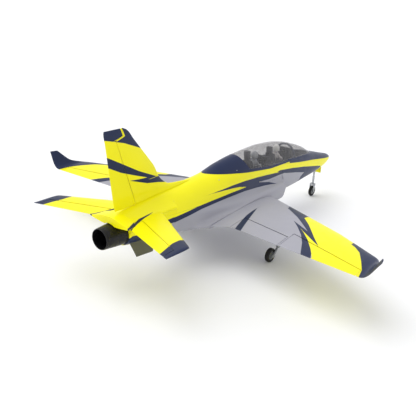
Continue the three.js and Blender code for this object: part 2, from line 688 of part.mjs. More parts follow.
function makeTail() {
  const hullGrown = hullOf(-GAP);
  makeFin(hullGrown);
  for (const [name, side] of [['left', 1], ['right', -1]]) {
    makeStabilizer(name, side, hullGrown);
    makeVentralFin(`${name}_ventral_fin`, side, hullGrown);
  }
}

// ---------------------------------------------------------------- fan and exhaust
const AFT = v3(-1, 0, 0);

function ring(front, rear, rOutFront, rOutRear, rInFront, rInRear) {
  const outer = rod(v3(front, 0, FAN_Z), v3(rear, 0, FAN_Z), rOutFront, rOutRear, 32);
  const slope = (rInRear - rInFront) / (front - rear);
  const inner = rod(v3(front + 1, 0, FAN_Z), v3(rear - 1, 0, FAN_Z), rInFront - slope, rInRear + slope, 32);
  return outer.subtract(inner);
}

/** A blade or vane standing out from the fan's axis. */
function blade(x, rFrom, rTo, chord, twist, angle) {
  const geometry = new THREE.BoxGeometry(chord, 1.4, rTo - rFrom);
  geometry.translate(0, 0, (rFrom + rTo) / 2);
  geometry.rotateZ(deg(twist));
  geometry.rotateX(angle);
  geometry.translate(x, 0, FAN_Z);
  return solid(geometry);
}

function makeFan() {
  const blades = 8;
  const vanes = 4;
  let housing = ring(FAN_X, FAN_X - 52, FAN_R + 3, FAN_R + 3, FAN_R + 0.8, FAN_R + 0.8);
  housing = housing.add(ring(FAN_X - 28, FAN_X - 52, 16, 16, 14.6, 14.6));
  for (let i = 0; i < vanes; i += 1) {
    housing = housing.add(blade(FAN_X - 40, 15.2, FAN_R + 2, 18, 0, (i + 0.5) / vanes * Math.PI * 2));
  }
  add('fan_housing', housing, BLACK);
  const spinner = new THREE.LatheGeometry([[0, -6], [7, -3], [12, 4], [14, 12], [14, 26], [0, 26]]
    .map(([r, s]) => new THREE.Vector2(r, s)), 20);
  spinner.applyQuaternion(new THREE.Quaternion().setFromUnitVectors(v3(0, 1, 0), AFT));
  spinner.translate(FAN_X, 0, FAN_Z);
  let rotor = solid(spinner);
  for (let i = 0; i < blades; i += 1) {
    rotor = rotor.add(blade(FAN_X - 15, 11, FAN_R - 0.2, 13, 38, i / blades * Math.PI * 2));
  }
  const bore = rod(v3(FAN_X - 12, 0, FAN_Z), v3(FAN_X - 30, 0, FAN_Z), SHAFT_R + GAP, SHAFT_R + GAP, 12);
  rotor = rotor.subtract(bore);
  add('fan_rotor', rotor, DARK);
  const can = rod(v3(FAN_X - 28, 0, FAN_Z), v3(FAN_X - 60, 0, FAN_Z), 14.2, 14.2, 24);
  const shaft = rod(v3(FAN_X - 14, 0, FAN_Z), v3(FAN_X - 30, 0, FAN_Z), SHAFT_R, SHAFT_R, 12);
  add('fan_motor', can.add(shaft), COPPER);
  add('exhaust_duct', ring(FAN_X - 52.3, -477, FAN_R + 3, 30, FAN_R + 1.8, 28.8), BLACK);
  const { front, rear, rFront, rRear, wall } = NOZZLE;
  add('exhaust_nozzle', ring(front - GAP, rear, rFront, rRear, rFront - wall, rRear - wall), BLACK);
}

// ---------------------------------------------------------------- equipment inside
function makeEquipment() {
  add('battery_tray', box(20, 258, -14, 14, 104, 106), finish(0xc8a878, 0.8));
  add('battery', box(60, 200, -22, 22, 106.3, 141), BLUE);
  add('speed_controller', box(-96, -34, -15, 15, 119, 134), DARK);
  add('receiver', box(214, 256, -13, 13, 106.3, 120), DARK);
  add('rudder_servo', box(-290, -267, 1, 12, 190.5, 206), DARK);
  add('elevator_servo', box(-290, -267, -12, -1, 190.5, 206), DARK);
  add('steering_servo', box(412, 435, -6, 6, 147.5, 163), DARK);
  const sparRight = v3(SPAR.x, -SPAR.reach, SPAR.z);
  const sparLeft = v3(SPAR.x, SPAR.reach, SPAR.z);
  add('wing_spar', rod(sparRight, sparLeft, SPAR.r, SPAR.r, 16), CARBON);
}

// ---------------------------------------------------------------- landing gear
function makeWheel(name, { x, y, r, w }) {
  const rim = r * 0.6;
  const bore = 1.8;
  const centre = v3(x, y, r);
  const hub = turned([
    [bore, -w / 2], [rim - 2, -w / 2 + 0.6], [rim - 0.5, -w / 2 + 1.4], [rim - 0.5, w / 2 - 1.4],
    [rim - 2, w / 2 - 0.6], [bore, w / 2], [bore, -w / 2],
  ], centre, along.y);
  const tyre = turned([
    [rim, -w / 2 + 1.4], [r * 0.86, -w / 2], [r, -w / 4 + 0.5], [r, w / 4 - 0.5],
    [r * 0.86, w / 2], [rim, w / 2 - 1.4], [rim, -w / 2 + 1.4],
  ], centre, along.y);
  add(`${name}_hub`, hub, HUB);
  add(`${name}_tyre`, tyre, RUBBER);
}

function makeNoseGear() {
  const { x, z } = NOSE_PIVOT;
  const block = box(x - 10, x + 22, -13.6, 13.6, z - 9, z + 12);
  const slot = box(x - 30, x + 8, -5.3, 5.3, z - 30, z + 30);
  add('nose_retract', block.subtract(slot), DARK);
  const trunnion = rod(v3(x, -5, z), v3(x, 5, z), 6, 6, 20);
  const strut = rod(v3(x, 0, z), v3(x, 0, 62), 3.2, 3.2, 16);
  const collar = rod(v3(x, 0, 74), v3(x, 0, 62), 4.4, 4.4, 16);
  const bore = rod(v3(x, 0, 60), v3(x, 0, 84), 2.1, 2.1, 12);
  add('nose_leg', trunnion.add(strut).add(collar).subtract(bore), STEEL);
  const stem = rod(v3(x, 0, 82), v3(x, 0, 48), 1.8, 1.8, 12);
  const sleeve = rod(v3(x, 0, 61.6), v3(x, 0, 46), 3.6, 3.6, 16);
  const crown = box(x - 7, x + 5, -8.6, 8.6, 42, 47);
  const armOutline = [[x - 7, 44], [x + 4, 44], [x - 1, 16], [x - 7, 16]];
  const arm = (side) => plateXZ(armOutline, side * 7.6 - 1, side * 7.6 + 1);
  const axle = rod(v3(NOSE_WHEEL.x, -8.6, NOSE_WHEEL.r), v3(NOSE_WHEEL.x, 8.6, NOSE_WHEEL.r), 1.4, 1.4, 12);
  add('nose_fork', stem.add(sleeve).add(crown).add(arm(1)).add(arm(-1)).add(axle), STEEL);
  makeWheel('nose', NOSE_WHEEL);
  const door = box(496.2, 497.4, -12, 12, 83, 111.5);
  const lip = rod(v3(496.6, -12, 112.5), v3(496.6, 12, 112.5), 1.4, 1.4, 10);
  add('nose_gear_door', door.add(lip), YELLOW);
}

function makeMainGear(name, side) {
  const { x, y, z } = MAIN_PIVOT;
  const py = side * y;
  const block = box(x - 20, x + 20, side * (y - 7), side * (y + 26), z - 5, z + 8);
  const slot = box(x - 6.6, x + 6.6, side * (y - 20), side * (y + 9), z - 20, z + 20);
  add(`${name}_retract`, block.subtract(slot), DARK);
  const trunnion = rod(v3(x - 6, py, z), v3(x + 6, py, z), 5, 5, 20);
  const strut = rod(v3(x, py, z), v3(x, py, 44), 3, 3, 16);
  const knuckle = rod(v3(x, py - 4, 44), v3(x, py + 4, 44), 5, 5, 16);
  const wheelAt = v3(MAIN_WHEEL.x, side * MAIN_WHEEL.y, MAIN_WHEEL.r);
  const linkOutline = [
    [x + 3, 47], [x + 3, 41], [wheelAt.x + 1, 15.5], [wheelAt.x - 5, 20], [wheelAt.x, 25]];
  const faces = [side * (y - 2.6), side * (y + 2)];
  const link = plateXZ(linkOutline, Math.min(...faces), Math.max(...faces));
  const axle = rod(v3(wheelAt.x, py, wheelAt.z), v3(wheelAt.x, side * (y - 16.6), wheelAt.z), 1.5, 1.5, 12);
  add(`${name}_leg`, trunnion.add(strut).add(knuckle).add(link).add(axle), STEEL);
  makeWheel(`${name}_main`, { ...MAIN_WHEEL, y: wheelAt.y });
  const skin = box(x - 20, x + 20, side * (y + 6.4), side * (y + 7.8), 66, 104);
  const lug = (low) => box(x - 3, x + 3, side * (y + 3.3), side * (y + 6.6), low, low + 8);
  add(`${name}_gear_door`, skin.add(lug(72)).add(lug(92)), GREY);
}

makeFuselage();
makeHatch();
makeCockpit();
makeWing('left', 1);
makeWing('right', -1);
makeTail();
makeFan();
makeEquipment();
makeNoseGear();
makeMainGear('left', 1);
makeMainGear('right', -1);

export default jet;
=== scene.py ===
"""Looks of a radio-controlled sport jet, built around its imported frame.
Frame: +X to the nose, +Y to the left wing, +Z up. Shapes are worked out in millimetres."""
import math

import bmesh
import bpy
import numpy as np
from mathutils import Matrix, Vector
from mathutils.geometry import tessellate_polygon


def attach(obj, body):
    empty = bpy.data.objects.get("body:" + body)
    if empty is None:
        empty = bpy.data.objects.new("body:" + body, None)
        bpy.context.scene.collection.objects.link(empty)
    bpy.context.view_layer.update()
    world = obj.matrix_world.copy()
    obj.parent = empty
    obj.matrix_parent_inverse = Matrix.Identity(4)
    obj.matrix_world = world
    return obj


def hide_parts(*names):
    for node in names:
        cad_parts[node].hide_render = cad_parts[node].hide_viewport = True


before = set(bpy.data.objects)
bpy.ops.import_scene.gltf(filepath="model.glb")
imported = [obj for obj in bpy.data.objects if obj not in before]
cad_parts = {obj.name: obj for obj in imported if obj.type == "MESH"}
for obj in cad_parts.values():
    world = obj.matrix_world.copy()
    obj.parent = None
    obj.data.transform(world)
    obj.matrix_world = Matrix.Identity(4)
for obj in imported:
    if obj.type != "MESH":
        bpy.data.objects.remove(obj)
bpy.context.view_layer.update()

MM = 0.001
SIDES = {"left": 1, "right": -1}
UP = np.array([0.0, 0.0, 1.0])

# ---------------------------------------------------------------- dimensions of the airframe
GAP = 0.3
WALL = 7
WING_ROOT_Y = 76
WING_TIP_Y = 508
SPAN_Y = 550
ROOT_LE_X = 67
KINK_Y, KINK_LE_X = 368, -75
TIP_LE_X = -152
DIHEDRAL = 0.0585
WING_Z = 110.5
WING_THICKNESS, TIP_THICKNESS = 0.115, 0.1
CAMBER = 2
TE_X, TE_SWEEP = -182, 0.165
FILLET_Y = 117
STUB_TAIL = 60
FLAP = dict(inner=120, outer=277, hinge_in=-140, hinge_out=-180, slant=10)
AILERON = dict(inner=281, outer=496, hinge_in=-158, hinge_out=-237, slant=0)
HINGE_GAP = 1.2
STAB = dict(start=36, root=47, tip=218, le_in=-380, le_out=-487, te_in=-500, te_out=-560, z=188)
STAB_THICK = (11, 6.5)
ELEVATOR = dict(inner=52, outer=205, hinge_in=-462, hinge_out=-524)
FIN_HINGE_TOP, FIN_HINGE_LOW = (-494, 376), (-436, 212)
HORN_TOP, HORN_LOW = (-478, 401), (-471, 384)
RUDDER_FLOOR = 209
FAN_X, FAN_Z, FAN_R = -120, 155, 35
NOZZLE = dict(front=-478, rear=-544, r_front=31, r_rear=25.5, wall=1.6)
MAIN_WHEEL = dict(x=-94, y=182, r=20, w=12)
NOSE_WHEEL = dict(x=468, y=0, r=19, w=10)
MAIN_PIVOT = dict(x=-72, y=192, z=114.5, fold=86.5)
NOSE_PIVOT = dict(x=470, z=124)
SPAR = dict(x=-22, z=112, r=4, reach=170)

# x, half width, top, bottom, height of the widest place, squareness above, squareness below
BODY = [
    (560, 2, 134, 130, 132, 2, 2), (555, 8, 139, 125, 132, 2, 2), (540, 16, 146, 120, 133, 2, 2),
    (515, 24, 153, 116, 134, 2, 2.1), (480, 32, 162, 111, 135, 2, 2.2), (440, 37, 173, 107, 137, 2, 2.4),
    (391, 41, 187, 103, 141, 2.1, 2.6), (330, 44, 215, 99, 147, 2.2, 2.8), (270, 46, 235, 95, 150, 2.3, 3),
    (211, 47, 250, 92, 152, 2.3, 3), (150, 48, 259, 90, 152, 2.3, 3), (80, 49, 263, 88, 152, 2.3, 3),
    (20, 50, 261, 87, 152, 2.2, 3), (-44, 51, 256, 87, 152, 2.1, 3), (-110, 50, 247, 89, 153, 2, 2.8),
    (-180, 48, 231, 93, 154, 2, 2.6), (-260, 45, 225, 99, 155, 2, 2.4), (-340, 42, 220, 106, 157, 2, 2.2),
    (-420, 38, 212, 115, 157, 2, 2), (-482, 34, 205, 121.5, 156, 2, 2), (-484, 32, 204.5, 178, 190, 2, 2),
    (-514, 28, 201, 184, 191, 2, 2),
]
# x, outer half width, half height, height of the middle: the cheeks round the air ducts
CHEEK = [
    (160, 75, 26, 121), (120, 77, 27, 120), (40, 78, 27, 120), (-60, 74, 26, 120),
    (-160, 62, 25, 124), (-260, 50, 24, 132), (-340, 40, 22, 140),
]
CHEEK_INNER = 20
# x, half width, half thickness: the shelf that carries the stabilizers
SHELF = [(-330, 30, 2), (-372, 40, 5), (-430, 47, 5.5), (-506, 50, 5), (-514, 51, 3)]
SHELF_Z = 189
# x, sideways spread and height of the points that section rays start from
RAY_STARTS = [
    (560, 0, 132), (500, 8, 134), (330, 22, 140), (200, 30, 134), (150, 40, 122), (-60, 42, 116),
    (-180, 36, 119), (-260, 28, 130), (-340, 18, 146), (-482, 12, 156),
]
SILL = [(-184, 231.5), (-26, 209), (93, 196), (224, 193), (293, 188), (345, 184), (396, 179)]
SILL_RAIL = 7
HATCH_WALL = 4.5
GLASS_WALL = 1.2
BOW_X = 245


# ---------------------------------------------------------------- curves through tables
def smooth_table(table, x):
    """The columns of a table at x, by monotone cubic curves through its rows."""
    rows = np.array(sorted(table), float)
    knots, values = rows[:, 0], rows[:, 1:]
    step = np.diff(knots)[:, None]
    slope = np.diff(values, axis=0) / step
    near, far = 2 * step[1:] + step[:-1], step[1:] + 2 * step[:-1]
    same_way = slope[:-1] * slope[1:] > 0
    safe = np.where(same_way, slope[:-1], 1), np.where(same_way, slope[1:], 1)
    tangent = np.zeros_like(values)
    tangent[1:-1] = np.where(same_way, (near + far) / (near / safe[0] + far / safe[1]), 0)
    tangent[0], tangent[-1] = slope[0], slope[-1]
    x = np.clip(np.asarray(x, float), knots[0], knots[-1])
    i = np.clip(np.searchsorted(knots, x) - 1, 0, len(knots) - 2)
    h = (knots[i + 1] - knots[i])[:, None]
    t = (x[:, None] - knots[i][:, None]) / h
    return (values[i] * (1 + 2 * t) * (1 - t) ** 2 + tangent[i] * h * t * (1 - t) ** 2
            + values[i + 1] * t * t * (3 - 2 * t) + tangent[i + 1] * h * t * t * (t - 1))


def columns(table, x):
    """Each column of a table as an upright array, to set beside rows of points."""
    return [column[:, None] for column in smooth_table(table, x).T]


# ---------------------------------------------------------------- fuselage form
def superellipse(y, z, w, h, n):
    return (((np.abs(y) / w) ** n + (np.abs(z) / h) ** n) ** (1 / n) - 1) * np.minimum(w, h)


def blend(a, b, k):
    h = np.maximum(k - np.abs(a - b), 0) / k
    return np.minimum(a, b) - h * h * k / 4


def wing_chord(y):
    """Leading edge, trailing edge, thickness and height of the wing at y."""
    le = np.where(
        y < KINK_Y,
        ROOT_LE_X + (KINK_LE_X - ROOT_LE_X) * (y - WING_ROOT_Y) / (KINK_Y - WING_ROOT_Y),
        KINK_LE_X + (TIP_LE_X - KINK_LE_X) * (y - KINK_Y) / (495 - KINK_Y))
    straight = TE_X - TE_SWEEP * y
    share = WING_THICKNESS + (TIP_THICKNESS - WING_THICKNESS) * y / WING_TIP_Y
    return le, straight - np.maximum(0, FILLET_Y - y), (le - straight) * share, WING_Z + DIHEDRAL * y


def airfoil_half(s):
    """Half thickness of the section at a share of the chord, 1 at its thickest."""
    thick = 2.969 * np.sqrt(s) - 1.26 * s - 3.516 * s ** 2 + 2.843 * s ** 3 - 1.036 * s ** 4
    return np.maximum(thick, 0)


def stub_distance(x, y, z):
    le, te, thickness, height = wing_chord(WING_ROOT_Y)
    tail = te - STUB_TAIL
    share = np.clip((le - x) / (le - tail), 0, 1)
    half = np.maximum(0.6, airfoil_half(share) * thickness / 2)
    behind = np.clip((te - x) / (te - tail), 0, 1)
    reach = WING_ROOT_Y + (30 - WING_ROOT_Y) * behind
    return np.maximum(np.abs(z - height) - half, np.abs(y) - reach)


class Hull:
    """The fuselage as a signed distance at fixed stations, negative inside."""

    def __init__(self, stations, lean):
        self.x = np.array(stations, float)
        self.lean = lean
        self.body = columns(BODY, self.x)
        self.cheek = columns(CHEEK, self.x)
        self.shelf = columns(SHELF, self.x)

    def distance(self, y, z):
        w, top, bottom, middle, above, below = self.body
        x = self.x[:, None]
        upper = superellipse(y, z - middle, w, top - middle, above)
        lower = superellipse(y, z - middle, w, middle - bottom, below)
        d = np.where(z > middle, upper, lower)
        outer, half, height = self.cheek
        width = (outer - CHEEK_INNER) / 2
        cheek = superellipse(np.abs(y) - CHEEK_INNER - width, z - height, width, half, 3)
        d = np.where((x <= CHEEK[0][0]) & (x >= CHEEK[-1][0]), blend(d, cheek, 14), d)
        if self.lean:
            return d
        le, te, _, _ = wing_chord(WING_ROOT_Y)
        at_stub = (x < le) & (x > te - STUB_TAIL)
        d = np.where(at_stub, blend(d, stub_distance(x, y, z), 12), d)
        w, half = self.shelf
        return np.where(x <= SHELF[0][0], blend(d, superellipse(y, z - SHELF_Z, w, half, 2.5), 16), d)


def hull_rings(stations, sides, inset=0.0, lean=False, rays=720):
    """Section rings, found along rays and spaced evenly along each section."""
    hull = Hull(stations, lean)
    angle = (np.arange(rays) + 0.5) / rays * 2 * np.pi
    dy, dz = np.sin(angle)[None, :], np.cos(angle)[None, :]
    spread, low = columns(RAY_STARTS, hull.x)
    middle = 132 + 18 * np.clip((200 - hull.x[:, None]) / 400, 0, 1)
    start_z = middle + (low - middle) * dy ** 2
    on_shelf = hull.x[:, None] < -483
    start_y = np.where(on_shelf, 20, spread) * dy
    start_z = np.where(on_shelf, SHELF_Z, start_z)
    near, far = np.zeros_like(start_y), np.full_like(start_y, 160.0)
    for _ in range(24):
        r = (near + far) / 2
        inside = hull.distance(start_y + dy * r, start_z + dz * r) + inset < 0
        near, far = np.where(inside, r, near), np.where(inside, far, r)
    y, z = start_y + dy * near, start_z + dz * near
    rings = []
    for k, x in enumerate(hull.x):
        ys, zs = np.append(y[k], y[k, 0]), np.append(z[k], z[k, 0])
        arc = np.concatenate([[0], np.cumsum(np.hypot(np.diff(ys), np.diff(zs)))])
        place = 0.6 * arc / arc[-1] + 0.4 * np.arange(rays + 1) / rays
        even = np.arange(sides) / sides
        rings.append(np.stack([np.full(sides, x), np.interp(even, place, ys), np.interp(even, place, zs)], 1))
    return np.array(rings)


def stations_between(front, rear, step=5.0, fixed=()):
    """Stations from front to rear about a step apart, with the fixed ones kept exactly."""
    stops = sorted({front, rear, *[x for x in fixed if rear < x < front]}, reverse=True)
    out = [stops[0]]
    for a, b in zip(stops, stops[1:]):
        count = max(1, round((a - b) / step))
        out += [a + (b - a) * (i + 1) / count for i in range(count)]
    return out


# ---------------------------------------------------------------- meshes
def flip_inward(points, faces):
    """The same faces, turned over where the solid would be inside out."""
    volume = 0.0
    for face in faces:
        p = points[list(face)]
        for k in range(1, len(p) - 1):
            volume += np.dot(p[0], np.cross(p[k], p[k + 1]))
    return [list(face)[::-1] for face in faces] if volume < 0 else faces


def loft(rings):
    """A closed skin through rings of points."""
    rings = np.asarray(rings, float)
    n, m, _ = rings.shape
    i, j = np.meshgrid(np.arange(n - 1), np.arange(m), indexing="ij")
    a, b = i * m + j, i * m + (j + 1) % m
    quads = np.stack([a, b, b + m, a + m], -1).reshape(-1, 4)
    points = rings.reshape(-1, 3)
    p = points[quads]
    volume = np.einsum("ij,ij->i", p[:, 0], np.cross(p[:, 1], p[:, 2]) + np.cross(p[:, 2], p[:, 3])).sum()
    first, last = list(range(m)), [(n - 1) * m + k for k in range(m)]
    for cap, sign in ((first[::-1], 1), (last, 1)):
        q = points[cap]
        volume += sign * np.einsum("j,ij->i", q[0], np.cross(q[1:-1], q[2:])).sum()
    faces = quads.tolist() + [first[::-1], last]
    return points, [face[::-1] for face in faces] if volume < 0 else faces


def box(x0, x1, y0, y1, z0, z1):
    points = np.array([(x, y, z) for x in (x0, x1) for y in (y0, y1) for z in (z0, z1)], float)
    faces = [(0, 1, 3, 2), (4, 6, 7, 5), (0, 4, 5, 1), (2, 3, 7, 6), (0, 2, 6, 4), (1, 5, 7, 3)]
    return points, flip_inward(points, faces)


def across(axis):
    """Two unit vectors square to an axis and to each other."""
    side = np.cross(axis, UP if abs(axis[2]) < 0.9 else np.array([0.0, 1.0, 0.0]))
    side /= np.linalg.norm(side)
    return side, np.cross(axis, side)


def turned(start, axis, profile, sides=48):
    """A solid of revolution: the profile's [radius, place] pairs run from end to end along the axis."""
    axis = np.asarray(axis, float) / np.linalg.norm(axis)
    side, other = across(axis)
    angle = np.arange(sides) / sides * 2 * np.pi
    circle = np.outer(np.cos(angle), side) + np.outer(np.sin(angle), other)
    start = np.asarray(start, float)
    return loft([start + axis * place + circle * max(radius, 0.01) for radius, place in profile])


def lathe_ring(start, axis, profile, sides=64):
    """A ring of revolution whose profile closes on itself."""
    axis = np.asarray(axis, float) / np.linalg.norm(axis)
    side, other = across(axis)
    angle = np.arange(sides) / sides * 2 * np.pi
    circle = np.outer(np.cos(angle), side) + np.outer(np.sin(angle), other)
    start = np.asarray(start, float)
    n, m = len(profile), sides
    points = np.concatenate([start + axis * place + circle * radius for radius, place in profile])
    i, j = np.meshgrid(np.arange(n), np.arange(m), indexing="ij")
    a, b = i * m + j, i * m + (j + 1) % m
    c, d = (i + 1) % n * m + (j + 1) % m, (i + 1) % n * m + j
    faces = np.stack([a, b, c, d], -1).reshape(-1, 4).tolist()
    return points, flip_inward(points, faces)


def rod(start, end, r0, r1=None, sides=32):
    axis = np.subtract(end, start).astype(float)
    return turned(start, axis, [(r0, 0), (r0 if r1 is None else r1, np.linalg.norm(axis))], sides)


def plate(outline, low, high, plane="xz"):
    """A flat outline given thickness along the axis square to its plane."""
    rows = []
    for level in (low, high):
        for u, v in outline:
            rows.append((u, level, v) if plane == "xz" else (u, v, level))
    n = len(outline)
    faces = [[i, (i + 1) % n, n + (i + 1) % n, n + i] for i in range(n)]
    faces += [list(range(n))[::-1], list(range(n, 2 * n))]
    points = np.array(rows, float)
    return points, flip_inward(points, faces)


def mesh_object(name, shapes):
    """One object from one or more (points, faces) shapes in millimetres."""
    points, faces, start = [], [], 0
    for p, f in shapes:
        points.append(np.asarray(p) * MM)
        faces += [[v + start for v in face] for face in f]
        start += len(p)
    mesh = bpy.data.meshes.new(name)
    mesh.from_pydata(np.concatenate(points).tolist(), [], faces)
    mesh.update()
    obj = bpy.data.objects.new(name, mesh)
    bpy.context.scene.collection.objects.link(obj)
    return obj


def applied(obj):
    """Turn an object's modifiers into its mesh."""
    graph = bpy.context.evaluated_depsgraph_get()
    mesh = bpy.data.meshes.new_from_object(obj.evaluated_get(graph))
    old = obj.data
    obj.modifiers.clear()
    obj.data = mesh
    bpy.data.meshes.remove(old)
    return obj


def carve(obj, tools, operation="DIFFERENCE"):
    """Cut or join an object with a list of solids, each a shape or another object."""
    made = []
    for tool in tools:
        other = tool
        if not isinstance(tool, bpy.types.Object):
            other = mesh_object("tool", [tool])
            made.append(other)
        modifier = obj.modifiers.new("carve", "BOOLEAN")
        modifier.operation = operation
        modifier.solver = "MANIFOLD"
        modifier.object = other
    applied(obj)
    for other in made:
        bpy.data.objects.remove(other)
    return obj


def copy_of(obj, name):
    other = bpy.data.objects.new(name, obj.data.copy())
    bpy.context.scene.collection.objects.link(other)
    return other


def place(obj, material, body, replaces=(), slot=None, crease=32, bevel=0.0, segments=2):
    """Finish a piece: round its edges, shade it, and tie it to its body."""
    if bevel:
        modifier = obj.modifiers.new("round", "BEVEL")
        modifier.width = bevel * MM
        modifier.segments = segments
        modifier.limit_method = "ANGLE"
        modifier.angle_limit = math.radians(crease)
        modifier.harden_normals = False
        applied(obj)
    obj.data.shade_smooth()
    obj.data.set_sharp_from_angle(angle=math.radians(crease))
    materials = material if isinstance(material, (list, tuple)) else [material]
    obj.data.materials.clear()
    for item in materials:
        obj.data.materials.append(item)
    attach(obj, body)
    if replaces:
        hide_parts(*replaces)
    return obj


# ---------------------------------------------------------------- material graphs
def rgb(code):
    """A screen colour code as the linear colour that shaders take."""
    parts = [int(code[i:i + 2], 16) / 255 for i in (0, 2, 4)]
    return tuple(c / 12.92 if c <= 0.04045 else ((c + 0.055) / 1.055) ** 2.4 for c in parts) + (1.0,)


class Graph:
    """A material's node tree, with short calls that add nodes to it."""

    def __init__(self, name, **uniform):
        self.material = bpy.data.materials.new(name)
        self.material.use_nodes = True
        self.tree = self.material.node_tree
        self.shader = self.tree.nodes["Principled BSDF"]
        coordinates = self.tree.nodes.new("ShaderNodeTexCoord").outputs["Object"]
        self.point = self.vector("SCALE", coordinates, scale=1000.0)
        for key, value in uniform.items():
            self.shader.inputs[key.replace("_", " ").title().replace("Ior", "IOR")].default_value = value

    def put(self, socket, value):
        if isinstance(value, bpy.types.NodeSocket):
            self.tree.links.new(value, socket)
        else:
            socket.default_value = value

    def math(self, operation, *values, clamp=False):
        node = self.tree.nodes.new("ShaderNodeMath")
        node.operation = operation
        node.use_clamp = clamp
        for socket, value in zip(node.inputs, values):
            self.put(socket, value)
        return node.outputs[0]

    def vector(self, operation, *values, scale=None):
        node = self.tree.nodes.new("ShaderNodeVectorMath")
        node.operation = operation
        for socket, value in zip(node.inputs, values):
            self.put(socket, value)
        if scale is not None:
            self.put(node.inputs["Scale"], scale)
        return node.outputs["Value" if operation in ("DOT_PRODUCT", "LENGTH", "DISTANCE") else 0]

    def split(self, vector):
        node = self.tree.nodes.new("ShaderNodeSeparateXYZ")
        self.put(node.inputs[0], vector)
        return node.outputs

    def join(self, x, y, z):
        node = self.tree.nodes.new("ShaderNodeCombineXYZ")
        for socket, value in zip(node.inputs, (x, y, z)):
            self.put(socket, value)
        return node.outputs[0]

    def mix(self, factor, a, b):
        node = self.tree.nodes.new("ShaderNodeMix")
        node.data_type = "RGBA"
        for index, value in ((0, factor), (6, a), (7, b)):
            self.put(node.inputs[index], value)
        return node.outputs[2]

    def span(self, value, low, high, to_low=0.0, to_high=1.0):
        node = self.tree.nodes.new("ShaderNodeMapRange")
        for socket, item in zip(node.inputs, (value, low, high, to_low, to_high)):
            self.put(socket, item)
        return node.outputs[0]

    def noise(self, scale, detail=3.0, rough=0.5, at=None):
        node = self.tree.nodes.new("ShaderNodeTexNoise")
        self.put(node.inputs["Vector"], self.point if at is None else at)
        for key, value in (("Scale", scale), ("Detail", detail), ("Roughness", rough)):
            node.inputs[key].default_value = value
        return node.outputs["Fac"]

    def cells(self, scale, feature="F1", at=None):
        node = self.tree.nodes.new("ShaderNodeTexVoronoi")
        node.feature = feature
        self.put(node.inputs["Vector"], self.point if at is None else at)
        node.inputs["Scale"].default_value = scale
        return node.outputs["Distance"]

    def bump(self, height, strength, distance=1.0):
        node = self.tree.nodes.new("ShaderNodeBump")
        node.inputs["Strength"].default_value = strength
        node.inputs["Distance"].default_value = distance * MM
        self.put(node.inputs["Height"], height)
        self.put(self.shader.inputs["Normal"], node.outputs[0])

    def surface(self, color=None, roughness=None, metallic=None):
        for key, value in (("Base Color", color), ("Roughness", roughness), ("Metallic", metallic)):
            if value is not None:
                self.put(self.shader.inputs[key], value)
        return self.material


EDGE = 0.25                      # half width of a painted edge, millimetres


def painted(graph, flat, outlines):
    """1 inside any of the outlines, which are drawn in the first two coordinates of flat."""
    total = None
    for outline in outlines:
        corners = [Vector((u, v, 0)) for u, v in outline]
        for triangle in tessellate_polygon([corners]):
            a, b, c = (corners[k] for k in triangle)
            if (b - a).cross(c - a).z < 0:
                b, c = c, b
            depth = None
            for start, end in ((a, b), (b, c), (c, a)):
                along = (end - start).normalized()
                inward = Vector((-along.y, along.x))
                edge = graph.vector("DOT_PRODUCT", flat, (inward.x, inward.y, -inward.dot(start.xy)))
                depth = edge if depth is None else graph.math("MINIMUM", depth, edge)
            mask = graph.math("MULTIPLY_ADD", depth, 0.5 / EDGE, 1.0, clamp=True)
            total = mask if total is None else graph.math("MAXIMUM", total, mask)
    return total


YELLOW = rgb("FAF204")
NAVY = rgb("142348")
GREY = rgb("A3A3AE")
CHIN_GREY = rgb("A2A2AC")


def foam_paint(name, base, layers=()):
    """Satin paint over moulded foam: flat colours in crisp outlines, over a faint bead texture."""
    g = Graph(name, coat_weight=0.08, coat_roughness=0.2, specular_ior_level=0.28)
    x, y, z = g.split(g.point)
    side_view = g.join(x, z, 1.0)
    plan_view = g.join(x, g.math("ABSOLUTE", y), 1.0)
    color = base
    for shade, plane, outlines in layers:
        mask = painted(g, side_view if plane == "xz" else plan_view, outlines)
        if plane == "shelf":
            mask = g.math("MULTIPLY", mask, g.span(z, SHELF_Z - 6, SHELF_Z - 5, 0.0, 1.0))
        color = g.mix(mask, color, shade)
    mottle = g.noise(0.012, 2.0)
    dust = g.span(mottle, 0.3, 0.7, 0.955, 1.0)
    color = g.mix(g.math("SUBTRACT", 1.0, dust), color, (0.0, 0.0, 0.0, 1.0))
    beads = g.cells(0.32, "F1")
    fine = g.noise(0.9, 2.0)
    g.bump(g.math("ADD", g.math("MULTIPLY", beads, 0.5), g.math("MULTIPLY", fine, 0.35)), 0.16, 0.12)
    return g.surface(color, g.span(g.noise(0.05, 4.0), 0.3, 0.7, 0.3, 0.42))


# outlines on the side view (x, z); later layers cover earlier ones
LOWER_GREY = [
    (-345, 150), (-240, 158), (-48, 161), (10, 165), (28, 169), (85, 167), (144, 167), (187, 163), (308, 137),
    (288, 125), (272, 60), (-345, 60),
]
SIDE_STRIPE = [
    (-400, 168), (-357, 161), (-242, 167), (-166, 168.5), (-105, 170), (-40, 170), (28, 168), (79, 157),
    (110, 147), (58, 152), (9, 156), (-48, 160), (-126, 160), (-186, 159), (-240, 158), (-345, 148),
    (-400, 152),
]
UPPER_BOLT = [
    (-188, 186.5), (-144, 187.5), (-103, 189), (-48, 189), (8, 186), (58, 182), (110, 177), (159, 170),
    (187, 164), (144, 165), (85, 165), (28, 170), (-40, 171.5), (-53, 174), (-71, 178), (-104, 181.5),
    (-144, 184),
]
BOLT_TAIL = [(-40, 170), (-40, 172), (28, 171), (28, 167)]
NOSE_BAND = [
    (130, 176), (145, 179), (224, 169), (300, 157), (406, 136), (440, 128), (452, 60), (270, 60), (288, 125),
    (308, 136), (250, 149), (187, 161), (159, 168),
]
NOSE_TOP = [
    (205, 189), (270, 179), (360, 167), (440, 153.5), (500, 143.5), (545, 136), (575, 132), (575, 330),
    (205, 330),
]
